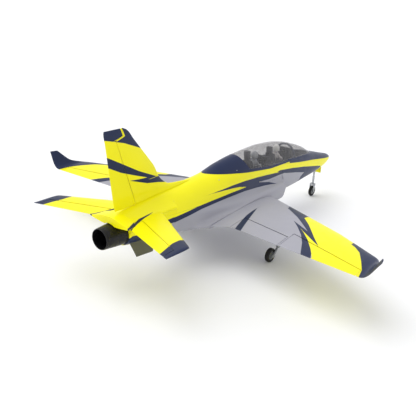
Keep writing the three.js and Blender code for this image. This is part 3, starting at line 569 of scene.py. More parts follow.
BELLY_STRIPE = [(-500, 140), (-473, 152), (-440, 146), (-405, 137), (-405, 126), (-500, 126)]
# outlines on the plan view (x, distance from the middle)
FLAP_SWOOSH = [
    (-68, 111), (-92, 111.5), (-118, 114), (-152, 121), (-190, 131), (-215, 139), (-215, 157), (-181, 146),
    (-149, 136), (-110, 124),
]
OUTER_YELLOW = [
    (60, 250), (-48, 248), (-85, 282), (-150, 334), (-183, 363), (-168, 342), (-140, 305), (-115, 272),
    (-134, 294), (-168, 326), (-207, 356), (-240, 378), (-300, 378), (-300, 560), (60, 560),
]
WING_BOLT = [
    (60, 150), (-14, 178), (-17, 184), (-58, 234), (-94, 271), (-126, 303), (-107, 272), (-87, 240),
    (-89, 244), (-115, 267), (-151, 298), (-187, 322), (-225, 341), (-300, 380), (-300, 400), (-225, 368),
    (-207, 356), (-168, 326), (-134, 294), (-115, 272), (-140, 305), (-168, 342), (-183, 363), (-150, 334),
    (-85, 282), (-49, 249), (60, 251),
]
WING_TIP = [
    (60, 400), (-128, 422), (-138, 436), (-160, 457), (-199, 479), (-234, 497), (-300, 512), (-300, 600),
    (60, 600),
]
PAINT_WING = [(YELLOW, "xy", [OUTER_YELLOW]), (NAVY, "xy", [FLAP_SWOOSH, WING_BOLT, WING_TIP])]
FIN_TIP = [
    (-580, 381), (-523, 381), (-498, 375), (-469, 367), (-444, 357), (-419, 347), (-380, 330), (-380, 440),
    (-580, 440),
]
FIN_BOLT = [
    (-560, 350), (-516, 341), (-480, 322), (-424, 292), (-364, 266), (-389, 265), (-397, 271), (-438, 285),
    (-479, 300), (-511, 316), (-560, 332),
]
FIN_FLASH = [
    (-330, 243), (-359, 250), (-397, 256.5), (-451, 274.5), (-424, 272), (-396, 270.5), (-389, 264),
    (-364, 264.5), (-330, 262),
]
HORN_LINE = [
    (-480, 404), (-476, 404), (-467.5, 384), (-470, 381.5), (-494, 373.5), (-494, 377), (-473, 384.5),
]
PAINT_FIN = [(NAVY, "xz", [FIN_TIP, FIN_BOLT, FIN_FLASH]), (YELLOW, "xz", [HORN_LINE])]
STAB_ROOT = [
    (-412, 38), (-460, 41), (-499, 54), (-530, 66), (-570, 78), (-570, 92), (-520, 74), (-498, 62),
    (-466, 51), (-444, 45),
]
STAB_TIP = [(-440, 196), (-478, 182), (-502, 182), (-528, 188), (-580, 198), (-580, 260), (-440, 260)]
PAINT_STAB = [(NAVY, "xy", [STAB_ROOT, STAB_TIP])]
PAINT_BODY = [
    (CHIN_GREY, "xz", [LOWER_GREY]),
    (NAVY, "xz", [SIDE_STRIPE, UPPER_BOLT, BOLT_TAIL, NOSE_BAND, NOSE_TOP, BELLY_STRIPE]),
    (NAVY, "shelf", [STAB_ROOT])]


def plain(name, code, rough=(0.4, 0.5), grain=0.5, strength=0.1, metallic=0.0, **uniform):
    """A moulded, turned or cast surface: one colour with slight variation and a fine grain."""
    g = Graph(name, **uniform)
    color = rgb(code)
    light = tuple(min(1.0, c * 1.12 + 0.004) for c in color[:3]) + (1.0,)
    shade = g.mix(g.span(g.noise(0.06, 4.0), 0.35, 0.65), color, light)
    g.bump(g.noise(grain, 3.0), strength, 0.1)
    return g.surface(shade, g.span(g.noise(0.11, 3.0), 0.3, 0.7, *rough), metallic)


def brushed(name, code, axis=0, rough=(0.22, 0.36)):
    """Metal with fine lines along one axis."""
    g = Graph(name, metallic=1.0)
    stretch = [1.0, 1.0, 1.0]
    stretch[axis] = 0.03
    lines = g.noise(3.0, 2.0, at=g.vector("MULTIPLY", g.point, tuple(stretch)))
    color = rgb(code)
    dark = tuple(c * 0.75 for c in color[:3]) + (1.0,)
    g.bump(lines, 0.12, 0.05)
    return g.surface(g.mix(lines, dark, color), g.span(lines, 0.3, 0.7, *rough))


def clear_canopy():
    """Thin clear plastic with a faint smoke tint, its reflections stronger at grazing angles."""
    g = Graph("canopy_clear", roughness=0.04, coat_weight=0.3, coat_roughness=0.03)
    nodes, links = g.tree.nodes, g.tree.links
    haze = g.span(g.noise(0.02, 2.0), 0.3, 0.7, 0.0, 0.03)
    g.surface((0.3, 0.3, 0.32, 1.0), g.span(g.noise(0.05, 3.0), 0.3, 0.7, 0.03, 0.07))
    clear = nodes.new("ShaderNodeBsdfTransparent")
    clear.inputs[0].default_value = (0.91, 0.905, 0.9, 1.0)
    facing = nodes.new("ShaderNodeLayerWeight")
    facing.inputs["Blend"].default_value = 0.35
    share = g.math("ADD", g.span(facing.outputs["Facing"], 0.0, 1.0, 0.02, 0.4), haze, clamp=True)
    blend_shader = nodes.new("ShaderNodeMixShader")
    links.new(share, blend_shader.inputs[0])
    links.new(clear.outputs[0], blend_shader.inputs[1])
    links.new(g.shader.outputs[0], blend_shader.inputs[2])
    links.new(blend_shader.outputs[0], nodes["Material Output"].inputs["Surface"])
    return g.material


body_paint = foam_paint("body_paint", YELLOW, PAINT_BODY)
hatch_paint = foam_paint("hatch_paint", NAVY)
wing_paint = foam_paint("wing_paint", GREY, PAINT_WING)
fin_paint = foam_paint("fin_paint", YELLOW, PAINT_FIN)
stab_paint = foam_paint("stab_paint", YELLOW, PAINT_STAB)
grey_paint = foam_paint("grey_paint", rgb("8E8E98"))
# ventral fins: the dark olive is painted shade, the fins' yellow paint as it looks in shadow under the tail
ventral_painted_shade = foam_paint("ventral_painted_shade", rgb("5E5E4C"))
yellow_paint = foam_paint("yellow_paint", YELLOW)
canopy_clear = clear_canopy()
black_satin = plain("black_satin", "0A0A0C", (0.24, 0.4), 0.25, 0.12, specular_ior_level=0.3)
black_matte = plain("black_matte", "1D1D20", (0.55, 0.7), 0.8, 0.2)
rubber = plain("rubber", "141414", (0.7, 0.85), 1.2, 0.35)
hub_grey = plain("hub_grey", "8C8F92", (0.35, 0.5), 0.6, 0.1, 0.4)
cockpit_grey = plain("cockpit_grey", "46464B", (0.55, 0.7), 0.9, 0.25)
seat_grey = plain("seat_grey", "303036", (0.5, 0.65), 1.0, 0.3)
helmet_white = plain("helmet_white", "E6E6E4", (0.2, 0.35), 0.3, 0.05)
helmet_grey = plain("helmet_grey", "9DA0A6", (0.25, 0.4), 0.3, 0.05)
visor_dark = plain("visor_dark", "15171C", (0.05, 0.12), 0.2, 0.03)
suit_grey = plain("suit_grey", "9A9DA2", (0.7, 0.85), 0.9, 0.4)
suit_green = plain("suit_green", "C9C4C4", (0.7, 0.85), 0.9, 0.4)
strap_blue = plain("strap_blue", "34489A", (0.6, 0.75), 1.5, 0.4)
skin_tone = plain("skin_tone", "C59478", (0.45, 0.6), 0.6, 0.15)
steel = brushed("steel", "C9CBCE", 2)
aluminium = brushed("aluminium", "B9BCC0", 0)

# ---------------------------------------------------------------- fuselage and hatch
HULL_SIDES = 168
KEPT_STATIONS = (555, 160.5, 159.5, 67.2, 64, -294, -297, -329, -331, -482, -484)


def hull_solid(inset=0.0, front=560, rear=-514, lean=False, step=5.0):
    stations = stations_between(front, rear, step, KEPT_STATIONS)
    return loft(hull_rings(stations, HULL_SIDES, inset, lean))


def above_sill(lift, rear=0.0, front=0.0):
    line = [(x, z + lift) for x, z in SILL]
    first, last = (line[0][0] + rear, line[0][1]), (line[-1][0] - front, line[-1][1])
    return plate([first, *line[1:-1], last, (last[0], 320), (first[0], 320)], -80, 80)


def glass_region(lift):
    rail = [(x, z + SILL_RAIL + lift) for x, z in SILL[2:]]
    outline = [(-45 + lift, 262), (-14 + lift, 216 + lift), *rail, (396, 320), (-45 + lift, 320)]
    return plate(outline, -80, 80)


def on_side(side, inner, outer):
    """Two distances from the middle as y values on one side, smaller first."""
    return sorted((side * inner, side * outer))


def air_duct(side):
    """The duct from the cheek's mouth, as rounded squares that move inwards."""
    rings = []
    angle = (np.arange(48) + 0.5) / 48 * 2 * np.pi

    def square(value):
        return np.sign(value) * np.abs(value) ** 0.55

    for x, y0, y1, z0, z1 in ((175, 50, 76, 96, 146), (120, 47, 73, 97, 143),
                              (60, 38, 68, 100, 140), (0, 20, 50, 102, 140)):
        y = (y0 + y1) / 2 + square(np.cos(angle)) * (y1 - y0) / 2
        z = (z0 + z1) / 2 + square(np.sin(angle)) * (z1 - z0) / 2
        rings.append(np.stack([np.full(48, x), side * y, z], 1))
    return loft(rings)


def lip_rake(side):
    outline = [(166, 150), (150, 147), (124, 90), (166, 90)]
    return plate(outline, *((48.5, 90) if side > 0 else (-90, -48.5)))


def tube(x0, x1, r0, r1=None, sides=64):
    return rod((x0, 0, FAN_Z), (x1, 0, FAN_Z), r0, r1, sides)


def make_fuselage(hull):
    body = copy_of(hull, "fuselage")
    tools = [
        hull_solid(WALL, 470, -440, True, 12), tube(-280, -483, 36.5, 30.8),
        tube(-478, -520, NOZZLE["r_front"] + 0.8, NOZZLE["r_front"] - 0.5),
        above_sill(0), box(344, 498, -14, 14, 80, 146),
        rod((SPAR["x"], -90, SPAR["z"]), (SPAR["x"], 90, SPAR["z"]), SPAR["r"] + GAP),
    ]
    for side in (-1, 1):
        tools += [lip_rake(side), air_duct(side)]
    carve(body, tools)
    for name, side in SIDES.items():
        half = copy_of(body, f"fuselage_{name}_shell")
        low, high = on_side(side, 0.15, 120)
        carve(half, [box(-600, 600, low, high, 0, 400)], "INTERSECT")
        place(half, body_paint, "airframe", [f"fuselage_{name}"], "yellow_foam")
    bpy.data.objects.remove(body)


def make_hatch(hull):
    top = carve(copy_of(hull, "hatch_top"), [above_sill(GAP, 0.5, GAP)], "INTERSECT")
    hollow = mesh_object("hollow", [hull_solid(HATCH_WALL, 470, -300, True, 8)])
    rail = carve(copy_of(top, "hatch_shell"), [hollow, glass_region(0)])
    inside_glass = hull_solid(GLASS_WALL + GAP, 470, -300, True, 6)
    bow = carve(mesh_object("bow", [inside_glass]), [hollow])
    carve(bow, [box(BOW_X - 3, BOW_X + 3, -80, 80, 150, 300), above_sill(2)], "INTERSECT")
    carve(rail, [bow], "UNION")
    place(rail, hatch_paint, "hatch", ["hatch_frame"], "navy_foam")
    glass = carve(copy_of(top, "canopy_shell"), [hull_solid(GLASS_WALL, 470, -300, True, 6)])
    carve(glass, [glass_region(GAP)], "INTERSECT")
    place(glass, canopy_clear, "hatch", ["canopy_glass"], "clear_plastic", 50)
    for obj in (top, hollow, bow):
        bpy.data.objects.remove(obj)


# ---------------------------------------------------------------- wings
def airfoil_ring(le, te, up, thickness, steps=36):
    s = (1 - np.cos(np.pi * np.arange(steps + 1) / steps)) / 2
    half = np.maximum(airfoil_half(s) * thickness / 2, 0.35)[:, None]
    chord = np.asarray(te, float) - le
    upper = np.asarray(le, float) + s[:, None] * chord + half * up
    lower = np.asarray(le, float) + s[:, None] * chord - half * up
    return np.concatenate([upper[::-1], lower[1:]])


# leading edge x, y, z, trailing edge x, y, z, tilt in degrees and thickness round the winglet's bend
WINGLET = [
    (-156, 500, 142, -265, 505, 140, 12, 9), (-178, 512, 147, -267, 515, 143.5, 30, 7.5),
    (-206, 521, 156, -267, 524, 151, 50, 6), (-241, 541, 188, -263, 548, 188, 57, 3.6),
]


def wing_rings(side):
    rows = []
    for y in stations_between(480, WING_ROOT_Y + GAP, 7.0, (FILLET_Y, KINK_Y)):
        le, te, thickness, z = (float(v) for v in wing_chord(y))
        rows.append((le, y, z + CAMBER, te, y, z, 0, thickness))
    rows = rows[::-1]
    bend = [rows[-4], rows[-1], *WINGLET]
    places = [(0 if k == 0 else k, *row) for k, row in enumerate(bend)]
    rows = rows[:-1] + list(smooth_table(places, np.linspace(1, len(bend) - 1, 42)))
    rings = []
    for lx, ly, lz, tx, ty, tz, tilt, thickness in rows:
        up = np.array([0, -side * math.sin(math.radians(tilt)), math.cos(math.radians(tilt))])
        rings.append(airfoil_ring((lx, side * ly, lz), (tx, side * ty, tz), up, thickness))
    return rings


def hinge_ends(spec, side):
    """Both ends of a wing surface's hinge, each with the half thickness of the wing there."""
    ends = []
    for x, y in ((spec["hinge_in"], spec["inner"]), (spec["hinge_out"], spec["outer"])):
        le, te, thickness, z = wing_chord(y)
        share = (le - x) / (le - te)
        ends.append((np.array([x, side * y, float(z + CAMBER * (1 - share))]),
                     float(airfoil_half(share) * thickness / 2)))
    return ends


def behind_hinge(spec, side, gap):
    inner, outer = side * (spec["inner"] + gap), side * (spec["outer"] - gap)
    slanted = side * (spec["inner"] - spec["slant"] + gap)
    return plate([(spec["hinge_in"], inner), (spec["hinge_out"], outer), (-300, outer), (-300, slanted)],
                 60, 220, "xy")


def hinge_rod(ends, grow, inset):
    (a, ra), (b, rb) = ends
    axis = (b - a) / np.linalg.norm(b - a)
    return rod(a + axis * inset, b - axis * inset, ra - 0.4 + grow, rb - 0.4 + grow, 40)


def cut_surface(panel, spec, side, name):
    """Split a control surface from its panel, and return it with its hinge ends."""
    ends = hinge_ends(spec, side)
    moving = carve(copy_of(panel, name), [behind_hinge(spec, side, HINGE_GAP)], "INTERSECT")
    carve(moving, [hinge_rod(ends, 0, 2.4 * HINGE_GAP)], "UNION")
    carve(panel, [behind_hinge(spec, side, 0), hinge_rod(ends, HINGE_GAP, 0)])
    return moving, ends


HORN = 17


def horn(ends, y, side):
    """The horn under a surface, and the point where its pushrod pulls."""
    (a, _), (b, _) = ends
    x, _, z = a + (b - a) * (y - abs(a[1])) / (abs(b[1]) - abs(a[1]))
    outline = [(x - 2, z - 1), (x - 16, z - 1), (x - 4, z - HORN), (x, z - HORN)]
    low, high = on_side(side, y - 1, y + 1)
    return plate(outline, low, high), (x - 2, y, z - HORN + 2)


def make_linkage(name, wing, hole, x, side):
    """The servo's pocket, the servo with its arm, and its pushrod."""
    hx, y, hz = hole
    z = WING_Z + DIHEDRAL * y
    low, high = on_side(side, y - 13, y + 13)
    carve(wing, [box(x - 13, x + 13, low, high, z - 30, z + 4.3)])
    low, high = on_side(side, y - 11.5, y + 11.5)
    case = mesh_object(f"{name}_servo_case", [
        box(x - 11.5, x + 11.5, low, high, z - 5.5, z + 4),
        box(x - 10.5, x + 10.5, low + 1, high - 1, z - 7, z - 5.8),
        rod((x - 4, side * y, z - 7), (x - 4, side * y, z - 8), 3.2),
    ])
    place(case, black_matte, "airframe", [f"{name}_servo"], "equipment_black", bevel=0.6)
    lane = side * (y + 2.2)
    wire = mesh_object(f"{name}_rod", [
        rod((x - 4, lane, hz), (hx, lane, hz), 0.8, sides=16),
        box(hx - 4, hx + 5, lane - 0.9, lane + 0.9, hz - 1.6, hz + 1.6),
        box(x - 8, x + 1, lane - 0.9, lane + 0.9, hz - 1.6, hz + 1.6),
    ])
    place(wire, steel, f"{name}_pushrod", [f"{name}_pushrod"], "steel", bevel=0.25)


def wheel_well(side):
    """The room for the folded main wheel, its leg, its unit and its door."""
    fold = math.radians(MAIN_PIVOT["fold"])
    folded = MAIN_PIVOT["y"] - (MAIN_PIVOT["z"] - MAIN_WHEEL["r"]) * math.sin(fold)
    x, px, py = MAIN_WHEEL["x"], MAIN_PIVOT["x"], MAIN_PIVOT["y"]
    shapes = [
        rod((x, side * folded, 56.2), (x, side * folded, 126.2), MAIN_WHEEL["r"] + 2.5, sides=64),
        box(px - 8, px + 8, *on_side(side, folded, py + 4), 55.5, 125.5),
        box(px - 22, px + 22, *on_side(side, py - 8, py + 28), 58, 128),
        box(px - 23, px + 23, *on_side(side, py - 49, py - 3), 96, 108),
    ]
    angle = side * math.atan(DIHEDRAL)
    turn = np.array([[1, 0, 0], [0, math.cos(angle), -math.sin(angle)],
                     [0, math.sin(angle), math.cos(angle)]])
    middle = np.array([0, side * folded, 116])
    return [((points - middle) @ turn.T + middle, faces) for points, faces in shapes]


def make_wing(name, side):
    wing = mesh_object(f"{name}_wing_panel", [loft(wing_rings(side))])
    flap, flap_ends = cut_surface(wing, FLAP, side, f"{name}_flap_panel")
    aileron, aileron_ends = cut_surface(wing, AILERON, side, f"{name}_aileron_panel")
    carve(wing, wheel_well(side))
    for kind, surface, ends, y, servo_x, slot in (
            ("flap", flap, flap_ends, 236, -98, "grey_foam"),
            ("aileron", aileron, aileron_ends, 376, -132, "yellow_foam")):
        plate_shape, hole = horn(ends, y, side)
        arm = mesh_object(f"{name}_{kind}_horn", [plate_shape])
        place(arm, black_matte, f"{name}_{kind}", slot="equipment_black", bevel=0.3)
        make_linkage(f"{name}_{kind}", wing, hole, servo_x, side)
        place(surface, wing_paint, f"{name}_{kind}", [f"{name}_{kind}"], slot)
    root = side * (SPAR["reach"] + 1)
    carve(wing, [rod((SPAR["x"], side * 60, SPAR["z"]), (SPAR["x"], root, SPAR["z"]), SPAR["r"] + GAP)])
    place(wing, wing_paint, "airframe", [f"{name}_wing"], "grey_foam")


# ---------------------------------------------------------------- tail
def stab_edges(y):
    t = (y - STAB["start"]) / (STAB["tip"] - STAB["start"])
    le = STAB["le_in"] + (STAB["le_out"] - STAB["le_in"]) * t
    te = STAB["te_in"] + (STAB["te_out"] - STAB["te_in"]) * t
    return le, te, STAB_THICK[0] + (STAB_THICK[1] - STAB_THICK[0]) * t


def make_stabilizer(name, side, hull_grown):
    rings = []
    for y in [*stations_between(STAB["tip"] - 8, STAB["root"] - 8, 6.0)[::-1], 213, 216, 217.4, STAB["tip"]]:
        le, te, thickness = stab_edges(y)
        round_off = math.sqrt(max(0.0, 1 - ((y - 210) / 8.4) ** 2)) if y > 210 else 1.0
        nip = 3 * (1 - round_off)
        rings.append(airfoil_ring((le - nip, side * y, STAB["z"]), (te, side * y, STAB["z"]),
                                  UP, thickness * round_off))
    panel = carve(mesh_object(f"{name}_stabilizer_panel", [loft(rings)]), [hull_grown])
    ends = []
    for x, y in ((ELEVATOR["hinge_in"], ELEVATOR["inner"]), (ELEVATOR["hinge_out"], ELEVATOR["outer"])):
        le, te, thickness = stab_edges(y)
        half = float(airfoil_half((le - x) / (le - te))) * thickness / 2
        ends.append((np.array([x, side * y, STAB["z"]], float), half + 0.1))
    inner, outer = ELEVATOR["inner"], ELEVATOR["outer"]

    def region(gap):
        return plate([(ELEVATOR["hinge_in"], side * (inner + gap)),
                      (ELEVATOR["hinge_out"], side * (outer - gap)),
                      (-600, side * (outer - gap)), (-600, side * (inner + gap))], 150, 230, "xy")

    moving = carve(copy_of(panel, f"{name}_elevator_panel"), [region(HINGE_GAP)], "INTERSECT")
    carve(moving, [hinge_rod(ends, 0, 2.4 * HINGE_GAP)], "UNION")
    carve(panel, [region(0), hinge_rod(ends, HINGE_GAP, 0)])
    place(moving, stab_paint, f"{name}_elevator", [f"{name}_elevator"], "yellow_foam")
    place(panel, stab_paint, "airframe", [f"{name}_stabilizer"], "yellow_foam")


# height, leading edge, trailing edge, thickness
FIN_LEVELS = [
    (196, -200, -494.5, 10), (226.5, -216, -500, 10), (231, -270, -501, 10), (237, -318, -502, 11),
    (300, -374.5, -511.5, 9.5), (372, -438, -523, 6.5), (396, -459, -527, 4.5), (401, -470, -526, 2.2),
]


def make_fin(hull_grown):
    levels = stations_between(401, 196, 5.0, (226.5, 231, 234, 237, 396, 398.5, 400.2))[::-1]
    rings = []
    for z, (le, te, thickness) in zip(levels, smooth_table(FIN_LEVELS, levels)):
        rings.append(airfoil_ring((le, 0, z), (te, 0, z), np.array([0.0, 1.0, 0.0]), thickness))
    panel = mesh_object("fin_panel", [loft(rings)])

    def region(gap, floor):
        low, top = FIN_HINGE_LOW, FIN_HINGE_TOP
        return plate([(low[0] - gap, floor), (low[0] - gap, low[1]), (top[0] - gap, top[1] + gap),
                      (HORN_LOW[0] - gap, HORN_LOW[1] + gap), (HORN_TOP[0] - gap, 420), (-560, 420),
                      (-560, floor)],
                     -20, 20)

    moving = carve(copy_of(panel, "rudder_panel"), [region(HINGE_GAP, RUDDER_FLOOR)], "INTERSECT")
    low, top = FIN_HINGE_LOW, FIN_HINGE_TOP
    carve(moving, [rod((low[0], 0, low[1] + 2), (top[0], 0, top[1] - 3), 4, 2)], "UNION")
    lifted = copy_of(hull_grown, "lifted")
    lifted.data.transform(Matrix.Translation((0, 0, 1.2 * MM)))
    carve(moving, [lifted])
    bpy.data.objects.remove(lifted)
    groove = rod((low[0] + 5, 0, low[1] - 14), (top[0], 0, top[1]), 5.4, 3.2)
    carve(panel, [region(0, 150), groove, hull_grown])
    place(moving, fin_paint, "rudder", ["rudder"], "yellow_foam")
    place(panel, fin_paint, "airframe", ["fin"], "yellow_foam")


def make_ventral_fin(name, side, hull_grown):
    up = np.array([0, 0.91, side * 0.41])
    rings = []
    for t in np.linspace(0, 1, 24):
        y, z = side * (20 + 21 * t), 140 - 46 * t
        te_x, le_x = -478 + 11 * t, -372 - 40 * t
        thickness = 5 * (1 if t < 0.96 else 0.6)
        rings.append(airfoil_ring((le_x, y, z), (te_x, y, z + 4), up, thickness, 24))
    panel = carve(mesh_object(f"{name}_ventral_panel", [loft(rings)]), [hull_grown])
    # the ventral fins' dark olive colour is painted shade standing for their shadowed yellow
    place(panel, ventral_painted_shade, "airframe", [f"{name}_ventral_fin"], "grey_foam")


# ---------------------------------------------------------------- fan and exhaust
AFT = (-1.0, 0.0, 0.0)


def make_exhaust():
    front, rear, wall = NOZZLE["front"] - GAP, NOZZLE["rear"], NOZZLE["wall"]
    length = front - rear
    r0, r1 = NOZZLE["r_front"], NOZZLE["r_rear"]

    def outside(s):
        return r0 + (r1 - r0) * (s / length) ** 1.25

    profile = [(r0 - wall, 0), (r0, 0)]
    profile += [(outside(s), s) for s in np.linspace(3, 8, 3)]
    profile += [(outside(9) - 0.5, 9), (outside(10) - 0.5, 10), (outside(11), 11)]
    profile += [(outside(s), s) for s in np.linspace(16, length - 8, 8)]
    profile += [(outside(length - 6.6) - 0.5, length - 6.6), (outside(length - 6) - 0.5, length - 6)]
    profile += [(outside(length - 5) + 0.2, length - 5), (r1, length - 1), (r1 - 0.4, length),
                (r1 - wall, length)]
    profile += [(r1 - wall - 0.2, length - 2), (r0 - wall - 1.6, length * 0.4)]
    cone = mesh_object("nozzle_shell", [lathe_ring((front, 0, FAN_Z), AFT, profile, 96)])
    place(cone, black_satin, "airframe", ["exhaust_nozzle"], "black_plastic", 40)


def make_fan_rotor():
    """Eight twisted blades on a spinner."""
    spinner = turned((FAN_X, 0, FAN_Z), AFT, [
        (0, -6), (4, -5.2), (7, -3), (10, 0.4), (12, 4), (13.4, 8), (14, 12), (14, 26), (2.3, 26), (2.3, 14),
        (0, 14)], 48)
    shapes = [spinner]
    for i in range(8):
        turn = i / 8 * 2 * math.pi
        rings = []
        for r in np.linspace(11, FAN_R - 0.2, 9):
            share = (r - 11) / (FAN_R - 11)
            twist = math.radians(50 - 24 * share)
            chord = 12 - 2 * share
            s = np.linspace(0, 2 * np.pi, 16, endpoint=False)
            u = np.cos(s) * chord / 2
            v = np.sin(s) * 0.9 + 0.9 * (1 - (2 * u / chord) ** 2)
            x = FAN_X - 15 + u * math.cos(twist) - v * math.sin(twist)
            w = u * math.sin(twist) + v * math.cos(twist)
            rings.append(np.stack([x, w * math.cos(turn) + r * math.sin(turn),
                                   FAN_Z - w * math.sin(turn) + r * math.cos(turn)], 1))
        shapes.append(loft(rings))
    rotor = mesh_object("fan_blades", shapes)
    place(rotor, black_satin, "fan_rotor", ["fan_rotor"], "black_plastic", 40)


# ---------------------------------------------------------------- landing gear
def make_wheel(name, spec, body):
    """A treaded tyre on a hub with round openings."""
    x, y, r, w = spec["x"], spec["y"], spec["r"], spec["w"]
    rim, start = r * 0.6, (x, y - w / 2, r)
    along = (0.0, 1.0, 0.0)
    shoulder = [(rim, 1.4), (rim + 0.9, 0.5), (r * 0.78, 0.0), (r * 0.88, 0.25), (r * 0.95, 0.9),
                (r * 0.985, 1.8)]
    tread = []
    for k in range(3):
        s = w / 2 - 2.6 + 2.2 * k
        tread += [(r - 0.05 * (k != 1), s - 0.35), (r - 0.75, s), (r - 0.75, s + 0.4),
                  (r - 0.05 * (k != 1), s + 0.75)]
    profile = shoulder + tread + [(radius, w - s) for radius, s in shoulder[::-1]]
    profile += [(rim, w / 2 + 2), (rim, w / 2 - 2)]
    tyre = mesh_object(f"{name}_tyre_tread", [lathe_ring(start, along, profile, 96)])
    place(tyre, rubber, body, [f"{name}_tyre"], "tyre_rubber", 25)
    hub_profile = [
        (1.8, 0), (4.4, 0), (4.4, 1.6), (5, 2.2), (rim - 2.6, 2.2), (rim - 1.8, 0.8), (rim - 0.5, 0.5),
        (rim - 0.5, w - 0.5),
        (rim - 1.8, w - 0.8), (rim - 2.6, w - 2.2), (5, w - 2.2), (4.4, w - 1.6), (4.4, w), (1.8, w),
    ]
    hub = mesh_object(f"{name}_hub_disc", [lathe_ring(start, along, hub_profile, 72)])
    holes = []
    middle = (rim - 2.6 + 4.4) / 2
    for k in range(6):
        turn = k * math.pi / 3
        hx, hz = x + middle * math.cos(turn), r + middle * math.sin(turn)
        holes.append(rod((hx, y - w, hz), (hx, y + w, hz), (rim - 7) * 0.36, sides=24))
    carve(hub, holes)
    place(hub, hub_grey, body, [f"{name}_hub"], "hub_grey", 30)


def bolt(centre, axis, radius=1.6, depth=1.0):
    """A cap screw head with its hexagon recess."""
    axis = np.asarray(axis, float)
    head = turned(centre, axis, [(radius, 0), (radius, depth * 0.75), (radius * 0.85, depth),
                                 (radius * 0.45, depth),
                                 (radius * 0.42, depth * 0.4), (0, depth * 0.4)], 18)
    return head


def coil(start, end, radius, wire, turns, sides=10):
    """A coil spring between two points."""
    start, end = np.asarray(start, float), np.asarray(end, float)
    axis = (end - start) / np.linalg.norm(end - start)
    side, other = across(axis)
    rings = []
    for t in np.linspace(0, 1, int(turns * 20) + 1):
        angle = t * turns * 2 * math.pi
        out = side * math.cos(angle) + other * math.sin(angle)
        centre = start + (end - start) * t + out * radius
        ring = [centre + (out * math.cos(a) + axis * math.sin(a)) * wire
                for a in np.arange(sides) / sides * 2 * math.pi]
        rings.append(ring)
    return loft(rings)


def make_nose_gear():
    x, z = NOSE_PIVOT["x"], NOSE_PIVOT["z"]
    unit = mesh_object("nose_retract_case", [box(x - 10, x + 22, -13.6, 13.6, z - 9, z + 12)])
    carve(unit, [box(x - 30, x + 8, -5.3, 5.3, z - 30, z + 30)])
    place(unit, black_matte, "airframe", ["nose_retract"], "equipment_black", bevel=0.8)
    leg = mesh_object("nose_strut", [
        rod((x, -5, z), (x, 5, z), 6),
        turned((x, 0, z), (0, 0, -1), [(3.2, 0), (3.2, 40), (3.9, 41), (3.9, 44), (3.2, 45), (3.2, 49),
                                       (4.4, 50), (4.4, 62), (2.1, 62), (2.1, 40)]),
        coil((x, 0, z - 12), (x, 0, z - 36), 4.0, 0.6, 7),
    ])
    place(leg, steel, "nose_leg", ["nose_leg"], "steel", 35)
    arms = []
    for side in (1, -1):
        outline = [(x - 7, 44), (x + 4, 44), (x + 3, 34), (x + 0.5, 16), (x - 1, 14.6), (x - 6, 14.6),
                   (x - 7, 16)]
        arms.append(plate(outline, side * 7.6 - 1, side * 7.6 + 1))
        arms.append(bolt((NOSE_WHEEL["x"], side * 8.4, NOSE_WHEEL["r"]), (0, side, 0), 2.2, 0.2))
    fork = mesh_object("nose_fork_yoke", [
        rod((x, 0, 60), (x, 0, 48), 1.8), rod((x, 0, 61.6), (x, 0, 46), 3.6),
        box(x - 7, x + 5, -8.6, 8.6, 42, 47), *arms,
        rod((NOSE_WHEEL["x"], -8.5, NOSE_WHEEL["r"]), (NOSE_WHEEL["x"], 8.5, NOSE_WHEEL["r"]), 1.4),
    ])
    place(fork, aluminium, "nose_fork", ["nose_fork"], "steel", bevel=0.35)
    make_wheel("nose", NOSE_WHEEL, "nose_wheel")
    door = mesh_object("nose_door_panel", [
        plate([(-12, 83.8), (-11, 83), (11, 83), (12, 83.8), (12, 111.5), (-12, 111.5)], 0, 1.2),
        rod((-12, 0.4, 112.5), (12, 0.4, 112.5), 1.4, sides=20), box(-8, -6, -0.9, 0.4, 88, 110),
        box(6, 8, -0.9, 0.4, 88, 110),
    ])
    turn = Matrix(((0, 1, 0, 496.2 * MM), (1, 0, 0, 0), (0, 0, 1, 0), (0, 0, 0, 1)))
    door.data.transform(turn)
    door.data.flip_normals()
    place(door, yellow_paint, "nose_gear_door", ["nose_gear_door"], "yellow_foam", bevel=0.3)


